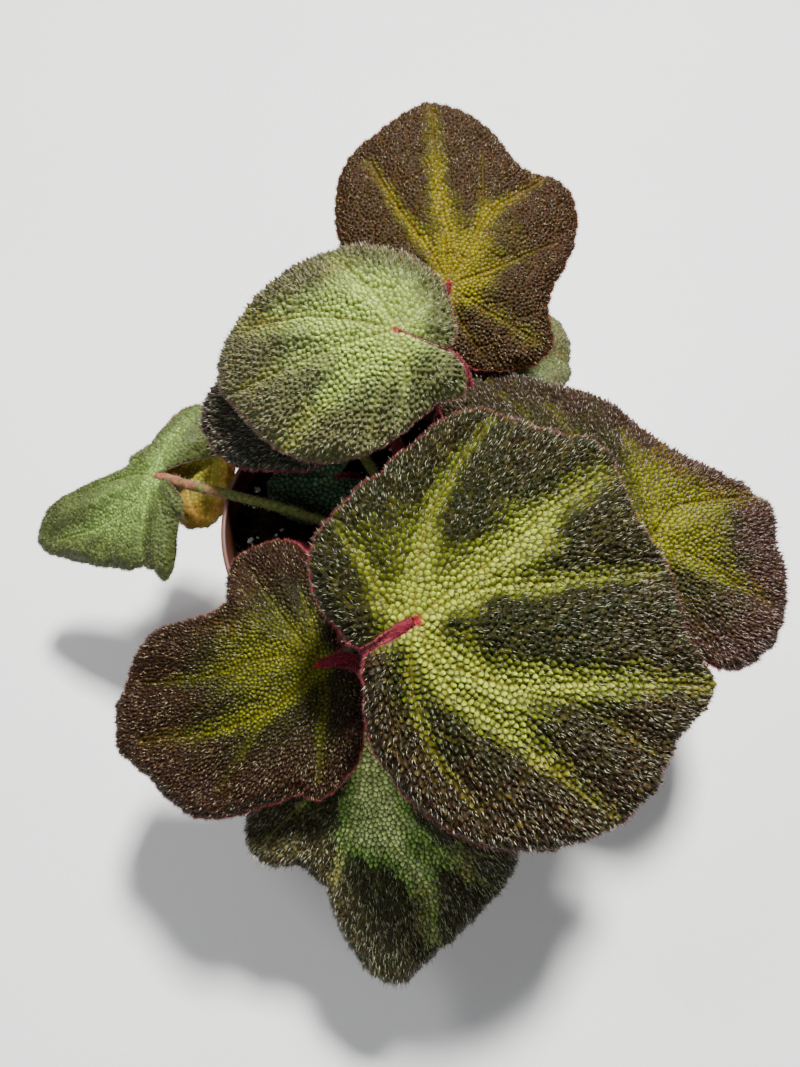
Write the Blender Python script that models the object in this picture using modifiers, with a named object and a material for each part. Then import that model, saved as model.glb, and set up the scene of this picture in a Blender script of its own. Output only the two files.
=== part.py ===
"""Potted begonia: a tapered pot of soil, a creeping rootstock, eleven hairy leaves,
each on a stalk of its own, and one young leaf still rolled up.

Units are metres, +Z is up, and the origin is the middle of the pot's base. Sizes
below are written in millimetres and scaled once, by MM.
"""
import math
from collections import namedtuple

import bmesh
import bpy
import numpy as np
from mathutils import Vector

MM = 0.001

# Pot: a thin tapered shell with a stepped rim band and a raised floor, which stands
# on a foot ring and on a flat pad in its middle.
RIM_RADIUS = 52.5
POT_HEIGHT = 90.0
BASE_RADIUS = 37.5
RIM_BAND = 16.0
RIM_STEP = 2.2
LIP_ROUND = 0.4
POT_WALL = 1.5
FLOOR_RAISE = 3.0
FOOT_WIDTH = 5.0
FOOT_DRAFT = 1.0
PAD_RADIUS = 12.0
POT_SIDES = 40

# Soil, and the rootstock that creeps across it from front to back.
SOIL_TOP = 78.0
ROOT_RADIUS = 5.0
ROOT_COURSE = [(8, -44, 85), (8, -26, 82.5), (9, -6, 81.5), (14, 12, 82), (24, 34, 87)]
ROOT_STEPS = 14
TOUCH_GAP = 0.3
STALK_SEAT = 0.6

# Blades and stalks.
BLADE_THICKNESS = 0.8
BLADE_CELLS = 10
BLADE_CURVE = 1.8
STALK_RADIUS = 1.9
STALK_LEAN = math.radians(45)
STALK_LEAD = 4.0
STALK_SPACING = 6.0
TUBE_RESOLUTION = 2

# The rolled young leaf, and loose grains of perlite on the soil.
BUD_LENGTH = 13.0
BUD_RADIUS = 2.8
BUD_SIDES = 12
BUD_RINGS = 8
PERLITE_RADIUS = 1.3
PERLITE_PLACES = [(-43, 17), (-44, -3), (-34, -5), (-30, -22), (-12, -34)]

# Points nearer than this are one point, on a mesh in millimetres and on the unit grid.
WELD = 0.01
SAME_SPOT = 1e-6
SHARP_ANGLE = math.radians(50)

# A blade hangs on the point where its stalk joins it. heading is the compass angle
# of its tip (0 is +X, 90 is +Y), slope lifts the tip, roll lifts its left side.
# The margin runs anticlockwise from one side of the basal notch to the other, as
# (bearing from the tip, reach, lift off the flat blade), in degrees and millimetres.
Blade = namedtuple("Blade", "joint heading slope roll margin")

BLADES = {
    "leaf_centre": Blade(
        joint=(12, -51, 142), heading=-10, slope=-10, roll=10,
        margin=[(-133, 14, 0), (-116, 21, -1), (-96, 33, -1), (-73, 49, -3),
                (-57, 61, -5), (-41, 71, -7), (-27, 78, -8), (-8, 82, -9),
                (0, 88, -10), (10, 79, -8), (25, 76, -8), (38, 72, -7),
                (55, 76, -8), (67, 67, -6), (84, 63, -5), (106, 45, -3),
                (132, 36, -2), (155, 33, -2), (175, 27, -1), (200, 19, -1),
                (219, 15, 0)]),
    "leaf_front_left": Blade(
        joint=(-15, -54, 108), heading=199, slope=-12, roll=0,
        margin=[(-165, 8, 0), (-140, 9, 0), (-110, 22, -1), (-96, 39, -3),
                (-78, 46, -4), (-64, 46, -4), (-53, 39, -3), (-41, 46, -5),
                (-33, 59, -7), (-18, 67, -9), (-2, 71, -9), (10, 64, -8),
                (27, 58, -6), (50, 42, -3), (61, 37, -3), (70, 38, -3),
                (85, 33, -2), (111, 21, -1), (135, 14, 0), (150, 9, 0)]),
    "leaf_front": Blade(
        joint=(1, -72, 95), heading=-87, slope=-22, roll=0,
        margin=[(-165, 12, 0), (-115, 18, -1), (-82, 27, -2), (-65, 40, -3),
                (-54, 51, -5), (-44, 53, -5), (-30, 47, -4), (-20, 51, -5),
                (-9, 69, -9), (0, 81, -12), (14, 72, -10), (30, 65, -8),
                (47, 58, -6), (62, 42, -4), (85, 30, -2), (115, 20, -1),
                (165, 12, 0)]),
    "leaf_back": Blade(
        joint=(24, 62, 136), heading=96, slope=18, roll=0,
        margin=[(-195, 20, -1), (-176, 26, -1), (-150, 33, -2), (-128, 39, -2),
                (-108, 33, -2), (-95, 34, -2), (-72, 46, -3), (-52, 53, -4),
                (-38, 48, -3), (-15, 60, -5), (-3, 65, -6), (16, 59, -5),
                (30, 55, -5), (50, 44, -3), (75, 32, -2), (100, 24, -1),
                (125, 19, -1), (148, 15, 0)]),
    "leaf_top": Blade(
        joint=(9, 33, 151), heading=177, slope=-8, roll=-8,
        margin=[(-198, 14, 0), (-175, 15, -1), (-150, 16, -1), (-127, 20, -2),
                (-105, 24, -3), (-80, 31, -5), (-58, 39, -7), (-40, 46, -10),
                (-15, 56, -15), (0, 61, -18), (22, 53, -13), (50, 46, -10),
                (72, 38, -7), (97, 29, -4), (120, 25, -3), (133, 26, -3),
                (148, 16, -1)]),
    "leaf_right": Blade(
        joint=(82, -21, 119), heading=8, slope=-14, roll=8,
        margin=[(-135, 14, 0), (-105, 22, -1), (-72, 34, -3), (-58, 45, -5),
                (-40, 51, -6), (-24, 54, -7), (5, 55, -8), (15, 58, -8),
                (33, 47, -6), (60, 40, -4), (75, 42, -4), (92, 53, -6),
                (112, 67, -7), (121, 76, -8), (128, 69, -6), (150, 42, -2),
                (180, 27, -1), (210, 17, 0)]),
    "leaf_left": Blade(
        joint=(-78, 19, 87), heading=196, slope=-20, roll=0,
        margin=[(-168, 21, -2), (-155, 28, -3), (-133, 30, -3), (-102, 17, -2),
                (-60, 16, -2), (-24, 27, -3), (-10, 54, -7), (0, 59, -9),
                (14, 48, -9), (40, 36, -8), (63, 34, -7), (79, 34, -7),
                (100, 22, -3), (120, 19, 0), (138, 14, 1), (155, 8, 0)]),
    "leaf_far": Blade(
        joint=(40, 60, 104), heading=-5, slope=-8, roll=0,
        margin=[(-150, 12, 0), (-110, 17, -1), (-70, 23, -2), (-30, 29, -3),
                (0, 31, -4), (40, 33, -3), (70, 27, -2), (110, 18, -1),
                (160, 12, 0)]),
    "leaf_lower": Blade(
        joint=(-14, 30, 127), heading=180, slope=-14, roll=-10,
        margin=[(-160, 12, 0), (-120, 18, -1), (-80, 26, -2), (-40, 36, -5),
                (-15, 44, -8), (5, 48, -9), (25, 42, -8), (50, 32, -4),
                (85, 25, -2), (120, 20, -1), (160, 12, 0)]),
    "leaf_small": Blade(
        joint=(-14, 17, 89), heading=205, slope=-4, roll=0,
        margin=[(-150, 8, 0), (-100, 13, 0), (-50, 20, -1), (-15, 24, -1),
                (20, 21, -1), (60, 15, -1), (100, 10, 0), (150, 8, 0)]),
    "leaf_old": Blade(
        joint=(-60, 36, 84), heading=215, slope=-20, roll=-6,
        margin=[(-150, 8, 0), (-100, 14, 0), (-60, 20, -1), (-20, 24, -2),
                (10, 28, -2), (41, 34, -3), (60, 26, -2), (80, 16, -1),
                (100, 11, 0), (125, 9, 0), (150, 8, 0)]),
}

# A stalk starts on the rootstock, at a fraction of its length and a lean from
# straight up towards +X, and runs through these points to its blade's joint.
Stalk = namedtuple("Stalk", "along lean via")

STALKS = {
    "leaf_centre": Stalk(0.10, -10, [(3, -47, 101), (-1, -52, 115), (2, -51, 128)]),
    "leaf_front_left": Stalk(0.03, -58, [(0, -48, 95.5), (-5, -53, 101)]),
    "leaf_front": Stalk(0.03, 25, [(9, -49, 96.5), (5, -60, 96)]),
    "leaf_left": Stalk(0.43, -60, [(-20, -1, 94), (-47, 7, 94.5),
                               (-57, 10, 90.5), (-65, 13.5, 86)]),
    "leaf_small": Stalk(0.53, -55, [(-3, 11, 87.5)]),
    "leaf_old": Stalk(0.62, -35, [(-8, 24, 100), (-38, 34, 100), (-52, 40, 90)]),
    "leaf_right": Stalk(0.60, 55, [(30, -2, 98), (52, -16, 107), (72, -29, 110)]),
    "leaf_lower": Stalk(0.70, -15, [(7, 22, 105), (-2, 29, 117)]),
    "leaf_top": Stalk(0.79, 10, [(28, 25, 108), (30, 30, 122), (25, 33, 136)]),
    "leaf_back": Stalk(0.88, 0, [(24, 38, 108), (24, 50, 122)]),
    "leaf_far": Stalk(0.96, 35, [(34, 44, 96)]),
}
BUD_STALK = Stalk(0.28, -50, [(-6, -20, 92)])
BUD_PLACE = (-22, -14, 96.5)
BUD_AIM = (-0.92, 0.10, 0.38)


def clear_scene():
    """Remove whatever the new scene starts with."""
    for item in list(bpy.data.objects):
        bpy.data.objects.remove(item)


def new_collection(name):
    """Make a collection of the scene."""
    group = bpy.data.collections.new(name)
    bpy.context.scene.collection.children.link(group)
    return group


def finish(name, colour, roughness):
    """Make a plain non-metal material."""
    material = bpy.data.materials.new(name)
    material.use_nodes = True
    shader = material.node_tree.nodes["Principled BSDF"]
    shader.inputs["Base Color"].default_value = (*colour, 1.0)
    shader.inputs["Roughness"].default_value = roughness
    return material


def place(name, mesh, material, group):
    """Put a mesh in the scene as one named piece."""
    if not mesh.materials:
        mesh.materials.append(material)
    piece = bpy.data.objects.new(name, mesh)
    group.objects.link(piece)
    return piece


def smooth_course(points, spacing):
    """Points of a smooth curve through the given ones, about spacing apart."""
    knots = np.array(points, dtype=float)
    strides = np.linalg.norm(np.diff(knots, axis=0), axis=1)
    marks = np.concatenate([[0.0], np.cumsum(strides)])
    count = max(3, int(round(marks[-1] / spacing)) + 1)
    places = np.linspace(0.0, marks[-1], count)
    return np.stack([ease_through(marks, knots[:, k], places) for k in range(3)], axis=1)


def ease_through(marks, values, places):
    """Cubic interpolation through the values, with slopes from their neighbours."""
    slopes = np.gradient(values, marks)
    span = np.clip(np.searchsorted(marks, places) - 1, 0, len(marks) - 2)
    width = marks[span + 1] - marks[span]
    part = (places - marks[span]) / width
    rise = part * part * (3 - 2 * part)
    return ((1 - rise) * values[span] + rise * values[span + 1]
            + width * part * (1 - part) ** 2 * slopes[span]
            - width * part ** 2 * (1 - part) * slopes[span + 1])


def tube_mesh(name, points, radius):
    """A round tube with closed ends along the points, as a welded mesh."""
    curve = bpy.data.curves.new(name, "CURVE")
    curve.dimensions = "3D"
    curve.bevel_depth = radius * MM
    curve.bevel_resolution = TUBE_RESOLUTION
    curve.use_fill_caps = True
    spline = curve.splines.new("POLY")
    spline.points.add(len(points) - 1)
    for knot, point in zip(spline.points, points):
        knot.co = (*(c * MM for c in point), 1.0)
    guide = bpy.data.objects.new(name + "_guide", curve)
    bpy.context.scene.collection.objects.link(guide)
    evaluated = guide.evaluated_get(bpy.context.evaluated_depsgraph_get())
    mesh = bpy.data.meshes.new_from_object(evaluated)
    mesh.name = name
    bpy.data.objects.remove(guide)
    bpy.data.curves.remove(curve)
    shell = bmesh.new()
    shell.from_mesh(mesh)
    bmesh.ops.remove_doubles(shell, verts=shell.verts, dist=WELD * MM)
    shell.to_mesh(mesh)
    shell.free()
    mesh.shade_smooth()
    mesh.set_sharp_from_angle(angle=SHARP_ANGLE)
    return mesh


def turned(name, profile, material, group):
    """A piece turned about Z from a profile of (radius, height) points."""
    mesh = bpy.data.meshes.new(name)
    points = [(radius * MM, 0.0, height * MM) for radius, height in profile]
    edges = [(k, k + 1) for k in range(len(points) - 1)]
    mesh.from_pydata(points, edges, [])
    piece = place(name, mesh, material, group)
    screw = piece.modifiers.new("Turn", "SCREW")
    screw.steps = POT_SIDES
    screw.render_steps = POT_SIDES
    screw.use_merge_vertices = True
    screw.merge_threshold = WELD * MM
    screw.use_normal_calculate = True
    return piece


def pot_inside():
    """The inside of the pot, from the middle of its floor up to the lip."""
    floor = FLOOR_RAISE + POT_WALL
    band_foot = POT_HEIGHT - RIM_BAND
    neck = RIM_RADIUS - RIM_STEP - POT_WALL
    lip = RIM_RADIUS - POT_WALL
    return [(0.0, floor), (BASE_RADIUS - POT_WALL, floor),
            (neck, band_foot - POT_WALL), (lip - LIP_ROUND, band_foot + POT_WALL),
            (lip, POT_HEIGHT - LIP_ROUND), (lip + LIP_ROUND, POT_HEIGHT)]


def make_pot(group):
    """The pot: its inside, then down its outer side and in under its floor."""
    band_foot = POT_HEIGHT - RIM_BAND
    foot_inside = BASE_RADIUS - FOOT_WIDTH
    outside = [(RIM_RADIUS - LIP_ROUND, POT_HEIGHT), (RIM_RADIUS, POT_HEIGHT - LIP_ROUND),
               (RIM_RADIUS - LIP_ROUND, band_foot),
               (RIM_RADIUS - RIM_STEP, band_foot - LIP_ROUND),
               (BASE_RADIUS, 0.0), (foot_inside, 0.0),
               (foot_inside - FOOT_DRAFT, FLOOR_RAISE),
               (PAD_RADIUS + FOOT_DRAFT, FLOOR_RAISE), (PAD_RADIUS, 0.0), (0.0, 0.0)]
    plastic = finish("pot_plastic", (0.30, 0.10, 0.05), 0.5)
    return turned("pot", pot_inside() + outside, plastic, group)


def make_soil(group, cutters):
    """Soil that fills the pot to its top, with a bed pressed in by the rootstock."""
    floor = FLOOR_RAISE + POT_WALL + TOUCH_GAP
    band_foot = POT_HEIGHT - RIM_BAND
    neck = RIM_RADIUS - RIM_STEP - POT_WALL - TOUCH_GAP
    wide = RIM_RADIUS - POT_WALL - LIP_ROUND - 2 * TOUCH_GAP
    profile = [(0.0, SOIL_TOP), (wide, SOIL_TOP), (wide, band_foot + POT_WALL),
               (neck, band_foot - POT_WALL), (BASE_RADIUS - POT_WALL - TOUCH_GAP, floor),
               (0.0, floor)]
    soil = turned("soil", profile, finish("soil_mix", (0.02, 0.012, 0.008), 0.95), group)
    bed = tube_mesh("root_bed", root_points(), ROOT_RADIUS + TOUCH_GAP)
    cutter = bpy.data.objects.new("root_bed", bed)
    cutter.hide_render = True
    cutter.display_type = "WIRE"
    cutters.objects.link(cutter)
    cut = soil.modifiers.new("Bed", "BOOLEAN")
    cut.operation = "DIFFERENCE"
    cut.object = cutter
    return soil


def root_points():
    """The rootstock's centre line."""
    length = sum(math.dist(a, b) for a, b in zip(ROOT_COURSE, ROOT_COURSE[1:]))
    return smooth_course(ROOT_COURSE, length / ROOT_STEPS)


def make_root(group):
    """The thick creeping rootstock that carries every stalk."""
    mesh = tube_mesh("rootstock", root_points(), ROOT_RADIUS)
    return place("rootstock", mesh, finish("root_bark", (0.16, 0.05, 0.03), 0.8), group)


def root_spot(along, lean):
    """A point just off the rootstock's skin, and the way out of the skin there."""
    line = root_points()
    reach = along * (len(line) - 1)
    index = min(int(reach), len(line) - 2)
    centre = line[index] + (reach - index) * (line[index + 1] - line[index])
    axis = Vector(line[index + 1] - line[index]).normalized()
    side = axis.cross(Vector((0, 0, 1))).normalized()
    up = side.cross(axis)
    angle = math.radians(lean)
    outward = np.array(up * math.cos(angle) + side * math.sin(angle))
    return centre + outward * (ROOT_RADIUS + STALK_SEAT), outward


def blade_axes(blade):
    """Unit vectors of a blade: towards its tip, towards its left side, and up."""
    heading = math.radians(blade.heading)
    slope = math.radians(blade.slope)
    roll = math.radians(blade.roll)
    tip = np.array([math.cos(heading) * math.cos(slope),
                    math.sin(heading) * math.cos(slope), math.sin(slope)])
    level = np.array([-math.sin(heading), math.cos(heading), 0.0])
    steep = np.cross(tip, level)
    side = level * math.cos(roll) + steep * math.sin(roll)
    face = steep * math.cos(roll) - level * math.sin(roll)
    return tip, side, face


def disc_polar(x, y):
    """Turn a point of the square from -1 to 1 into a radius and angle on the disc."""
    if abs(x) < SAME_SPOT and abs(y) < SAME_SPOT:
        return 0.0, 0.0
    if abs(x) >= abs(y):
        angle = math.pi / 4 * y / x
        if x < 0:
            angle += math.pi if y >= 0 else -math.pi
        return abs(x), angle
    angle = math.copysign(math.pi / 2, y) - math.pi / 4 * x / y
    return abs(y), angle


def slit_angle(vertex, angle):
    """On the slit that becomes the notch, the angle follows the vertex's own side."""
    on_slit = abs(vertex.co.y) < SAME_SPOT and vertex.co.x < -SAME_SPOT
    if not on_slit:
        return angle
    lean = sum(face.calc_center_median().y for face in vertex.link_faces)
    return math.copysign(math.pi, lean)


def blade_mesh(name, blade):
    """A blade as one sheet: a slit grid, spread over the margin and domed."""
    sheet = bmesh.new()
    bmesh.ops.create_grid(sheet, x_segments=BLADE_CELLS, y_segments=BLADE_CELLS, size=1.0)
    slit = [edge for edge in sheet.edges
            if all(abs(v.co.y) < SAME_SPOT and v.co.x < SAME_SPOT for v in edge.verts)]
    bmesh.ops.split_edges(sheet, edges=slit)
    bearings, reaches, lifts = np.array(blade.margin, dtype=float).T
    joint = np.array(blade.joint, dtype=float)
    tip, side, face = blade_axes(blade)
    spots = []
    for vertex in sheet.verts:
        radius, angle = disc_polar(vertex.co.x, vertex.co.y)
        angle = slit_angle(vertex, angle)
        share = (angle + math.pi) / (2 * math.pi)
        bearing = bearings[0] + share * (bearings[-1] - bearings[0])
        reach = radius * ease_through(bearings, reaches, np.array([bearing]))[0]
        lift = radius ** BLADE_CURVE * ease_through(bearings, lifts, np.array([bearing]))[0]
        turn = math.radians(bearing)
        spots.append(joint + reach * (math.cos(turn) * tip + math.sin(turn) * side)
                     + lift * face)
    for vertex, spot in zip(sheet.verts, spots):
        vertex.co = Vector(spot) * MM
    mesh = bpy.data.meshes.new(name)
    sheet.to_mesh(mesh)
    sheet.free()
    mesh.shade_smooth()
    return mesh


def make_blade(name, blade, material, group):
    """A leaf blade, thickened away from its upper face."""
    piece = place(name, blade_mesh(name, blade), material, group)
    wall = piece.modifiers.new("Thickness", "SOLIDIFY")
    wall.thickness = BLADE_THICKNESS * MM
    wall.offset = -1.0
    return piece


def stalk_points(stalk, blade):
    """A stalk's centre line, from the rootstock to just under its blade's notch."""
    start, outward = root_spot(stalk.along, stalk.lean)
    tip, side, face = blade_axes(blade)
    notch = math.radians((blade.margin[0][0] + blade.margin[-1][0] + 360) / 2)
    back = math.cos(notch) * tip + math.sin(notch) * side
    drop = BLADE_THICKNESS + TOUCH_GAP + STALK_RADIUS * math.sin(STALK_LEAN)
    end = np.array(blade.joint, dtype=float) - face * drop
    arrival = face * math.cos(STALK_LEAN) - back * math.sin(STALK_LEAN)
    lead_in = end - arrival * STALK_LEAD
    course = [start, start + outward * STALK_LEAD, *stalk.via, lead_in, end]
    return smooth_course(course, STALK_SPACING)


def make_stalk(name, points, material, group):
    """A leaf stalk along its centre line."""
    return place(name, tube_mesh(name, points, STALK_RADIUS), material, group)


def make_bud(material, group):
    """A rolled young leaf on the end of a short stalk."""
    start, outward = root_spot(BUD_STALK.along, BUD_STALK.lean)
    aim = np.array(BUD_AIM) / np.linalg.norm(BUD_AIM)
    foot = np.array(BUD_PLACE) - aim * (BUD_LENGTH / 2 + TOUCH_GAP)
    course = [start, start + outward * STALK_LEAD, *BUD_STALK.via,
              foot - aim * STALK_LEAD, foot]
    make_stalk("stalk_bud", smooth_course(course, STALK_SPACING), material, group)
    roll = bmesh.new()
    bmesh.ops.create_uvsphere(roll, u_segments=BUD_SIDES, v_segments=BUD_RINGS, radius=1.0)
    turn = Vector((0, 0, 1)).rotation_difference(Vector(aim)).to_matrix()
    for vertex in roll.verts:
        long_way = vertex.co.z * BUD_LENGTH / 2
        spread = Vector((vertex.co.x * BUD_RADIUS, vertex.co.y * BUD_RADIUS, long_way))
        vertex.co = (turn @ spread + Vector(BUD_PLACE)) * MM
    mesh = bpy.data.meshes.new("bud")
    roll.to_mesh(mesh)
    roll.free()
    mesh.shade_smooth()
    place("bud", mesh, material, group)


def make_perlite(group):
    """Loose grains that rest on the soil."""
    material = finish("perlite_grain", (0.75, 0.73, 0.68), 0.8)
    grain = bmesh.new()
    bmesh.ops.create_icosphere(grain, subdivisions=1, radius=PERLITE_RADIUS * MM)
    mesh = bpy.data.meshes.new("perlite")
    grain.to_mesh(mesh)
    grain.free()
    rest = SOIL_TOP + TOUCH_GAP + PERLITE_RADIUS
    for number, (x, y) in enumerate(PERLITE_PLACES, start=1):
        piece = place("perlite_%d" % number, mesh, material, group)
        piece.location = Vector((x, y, rest)) * MM


def main():
    clear_scene()
    parts = new_collection("potted_begonia")
    cutters = new_collection("cutters")
    make_pot(parts)
    make_soil(parts, cutters)
    make_root(parts)
    blade_green = finish("blade_green", (0.12, 0.14, 0.04), 0.55)
    stalk_red = finish("stalk_red", (0.35, 0.05, 0.05), 0.6)
    for name, blade in BLADES.items():
        make_blade(name, blade, blade_green, parts)
        stalk_name = name.replace("leaf", "stalk")
        make_stalk(stalk_name, stalk_points(STALKS[name], blade), stalk_red, parts)
    make_bud(stalk_red, parts)
    make_perlite(parts)


main()
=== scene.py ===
"""Potted begonia: the finish of a hairy, puckered plant in a small plastic pot.

Sizes are in millimetres and scaled once, by MM, where a mesh is made. A leaf is laid
out flat on its own plane, with its stalk's joint at the centre, and then set on the
plane and place of its node in the frame.
"""

import math
from collections import namedtuple

import bpy
import numpy as np
from mathutils import Matrix, Vector, noise
from mathutils.geometry import delaunay_2d_cdt
from mathutils.kdtree import KDTree


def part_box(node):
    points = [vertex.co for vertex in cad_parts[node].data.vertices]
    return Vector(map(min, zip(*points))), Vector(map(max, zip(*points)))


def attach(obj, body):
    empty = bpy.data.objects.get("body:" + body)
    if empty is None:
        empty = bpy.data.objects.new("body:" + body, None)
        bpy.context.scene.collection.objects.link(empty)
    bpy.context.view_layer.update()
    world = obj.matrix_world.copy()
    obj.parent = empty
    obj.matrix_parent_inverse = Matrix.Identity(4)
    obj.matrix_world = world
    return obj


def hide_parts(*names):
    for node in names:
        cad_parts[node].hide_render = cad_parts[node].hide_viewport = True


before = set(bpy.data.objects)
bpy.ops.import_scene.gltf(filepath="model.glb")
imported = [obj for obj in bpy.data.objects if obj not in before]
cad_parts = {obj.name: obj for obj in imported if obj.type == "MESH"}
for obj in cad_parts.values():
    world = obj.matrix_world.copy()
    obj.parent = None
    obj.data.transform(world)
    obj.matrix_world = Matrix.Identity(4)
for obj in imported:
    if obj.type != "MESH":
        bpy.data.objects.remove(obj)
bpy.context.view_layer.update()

MM = 0.001

# Camera: above the pot and a little in front of it, looking steeply down.
CAMERA_PLACE = (8.5, -110.6, 339.6)
CAMERA_TILT = math.radians(23)
CAMERA_LENS = 26.99
CAMERA_SENSOR = 36.0

# Soft square lights: name, place and size in metres, power, and colour.
LIGHTS = (
    ("window_light", (0.20, 0.57, 1.30), 0.18, 60.0, (1.0, 0.985, 0.95)),
    ("side_light", (-0.62, 0.36, 1.15), 0.22, 4.0, (1.0, 0.99, 0.97)),
    ("fill_light", (-0.3, -0.9, 0.8), 0.7, 4.5, (0.97, 0.98, 1.0)),
)
LIGHT_TARGET = (0, 0, 0.1)
SURROUND_COLOUR = (0.92, 0.96, 1.0, 1)
SURROUND_STRENGTH = 0.11

# Leaf blades: the form of the sheet, the mesh of its underside, and its margin.
BLADE_THICKNESS = 0.8
BLADE_CURVE = 1.8
UNDER_STEP = 3.0
MARGIN_POINTS = 4000
SCALLOP = 4.0
TOOTH_DEPTH = 0.55
CRIMP_DEPTH = 1.2
CRIMP_LENGTH = 7.0
RIM_DROP = 0.3
HEM_WIDTH = 7.5

# What stands on a blade: the swelling between the veins, the groove along them, slow
# waves, the keel under a vein, pillows between the fine net of veins, and the puckers.
# The blends say how far from the margin and from the joint it takes to rise.
QUILT_HEIGHT = 2.5
QUILT_WIDTH = 9.0
GROOVE_DEPTH = 0.45
GROOVE_WIDTH = 0.8
WAVE_HEIGHT = 1.4
WAVE_LENGTH = 16
VEIN_KEEL = 0.7
NET_SPACING = 8.5
PILLOW_HEIGHT = 0.3
BUMP_HEIGHT = 0.72
EDGE_BLEND = 5
JOINT_BLEND = 6

# Hairs: how many on a millimetre of margin and how long there, for the fringe and for
# its crimson stretches, then how long the down is on each look of blade, which down each
# look has, the most hairs on one pucker, and how wide down and other hairs are at the root.
FRINGE_DENSITY = 11.0
FRINGE_LENGTH = 0.85
BLUSH_DENSITY = 16.0
BLUSH_LENGTH = 1.3
HAIR_SCALE = {"meadow": 1.0, "olive": 0.75, "shade": 1.2, "lemon": 0.5, "mint": 0.9,
              "moss": 0.9, "sage": 0.5, "pale": 0.4, "night": 1.1, "teal": 0.5,
              "straw": 0.3}
DOWN_OF = {"olive": "warm_down", "lemon": "warm_down", "straw": "warm_down",
           "sage": "warm_down", "pale": "warm_down", "moss": "rosy_down"}
CROWD = 4
DOWN_WIDTH = 0.095
HAIR_WIDTH = 0.08

# Stalks, and the rootstock that they grow from, as in the frame: the stalk's seat is over
# the rootstock's skin, its lead is straight, and its depth is how far it ends under a blade.
ROOT_RADIUS = 5.0
ROOT_COURSE = [(8, -44, 85), (8, -26, 82.5), (9, -6, 81.5), (14, 12, 82), (24, 34, 87)]
ROOT_STEPS = 14
TOUCH_GAP = 0.3
STALK_SEAT = 0.6
STALK_RADIUS = 1.9
STALK_LEAD = 4.0
STALK_DEPTH = 0.5
STALK_SIDES = 14
COURSE_STEP = 1.2
ROOT_SIDES = 28
ROOT_BRISTLES = 500

# A stalk's skin, its hairs, how many stand on a millimetre of it, and its size.
RED_STALK = ("stalk_skin", "stalk_hair", 44, 1.0)
OLD_STALK = ("old_stalk", "pale_hair", 16, 0.85)
OLD_LEAVES = ("leaf_left", "leaf_old")

# A vein runs from the joint through points of (bearing from the tip, share of the
# reach), and lights the blade beside it over a width at its start and at its end.
Vein = namedtuple("Vein", "course wide narrow glow")

# A patch is a round spot of light colour, at a bearing and share, with a radius.
Patch = namedtuple("Patch", "bearing share radius glow")

# heading, slope and roll set the blade's plane, and margin is its outline, as
# (bearing, reach, lift). step is the spacing of the mesh, bump that of the puckers.
# rust is how brown the outer blade is, as (bearing, amount). along is where on the
# rootstock the stalk starts, as a share of its length, lean its lean there, and via the
# points it passes. notch is half the width of the notch, arrive the angle at which the
# stalk comes in under the blade (none where it runs straight on), and blush the
# stretches of margin with a thick crimson fringe. grow and sag are how far the margin
# stands out and down beyond its outline, and hem is how far its outer strip is folded
# down, all three as (bearing, millimetres). quilt is how strongly the blade swells
# between its veins.
LEVEL = ((0, 0), (1, 0))
Leaf = namedtuple("Leaf", "heading slope roll step bump look margin veins patches rust "
                          "along lean via notch arrive blush grow sag hem quilt",
                  defaults=(1.1, 45, (), LEVEL, LEVEL, LEVEL, 1.0))

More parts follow.
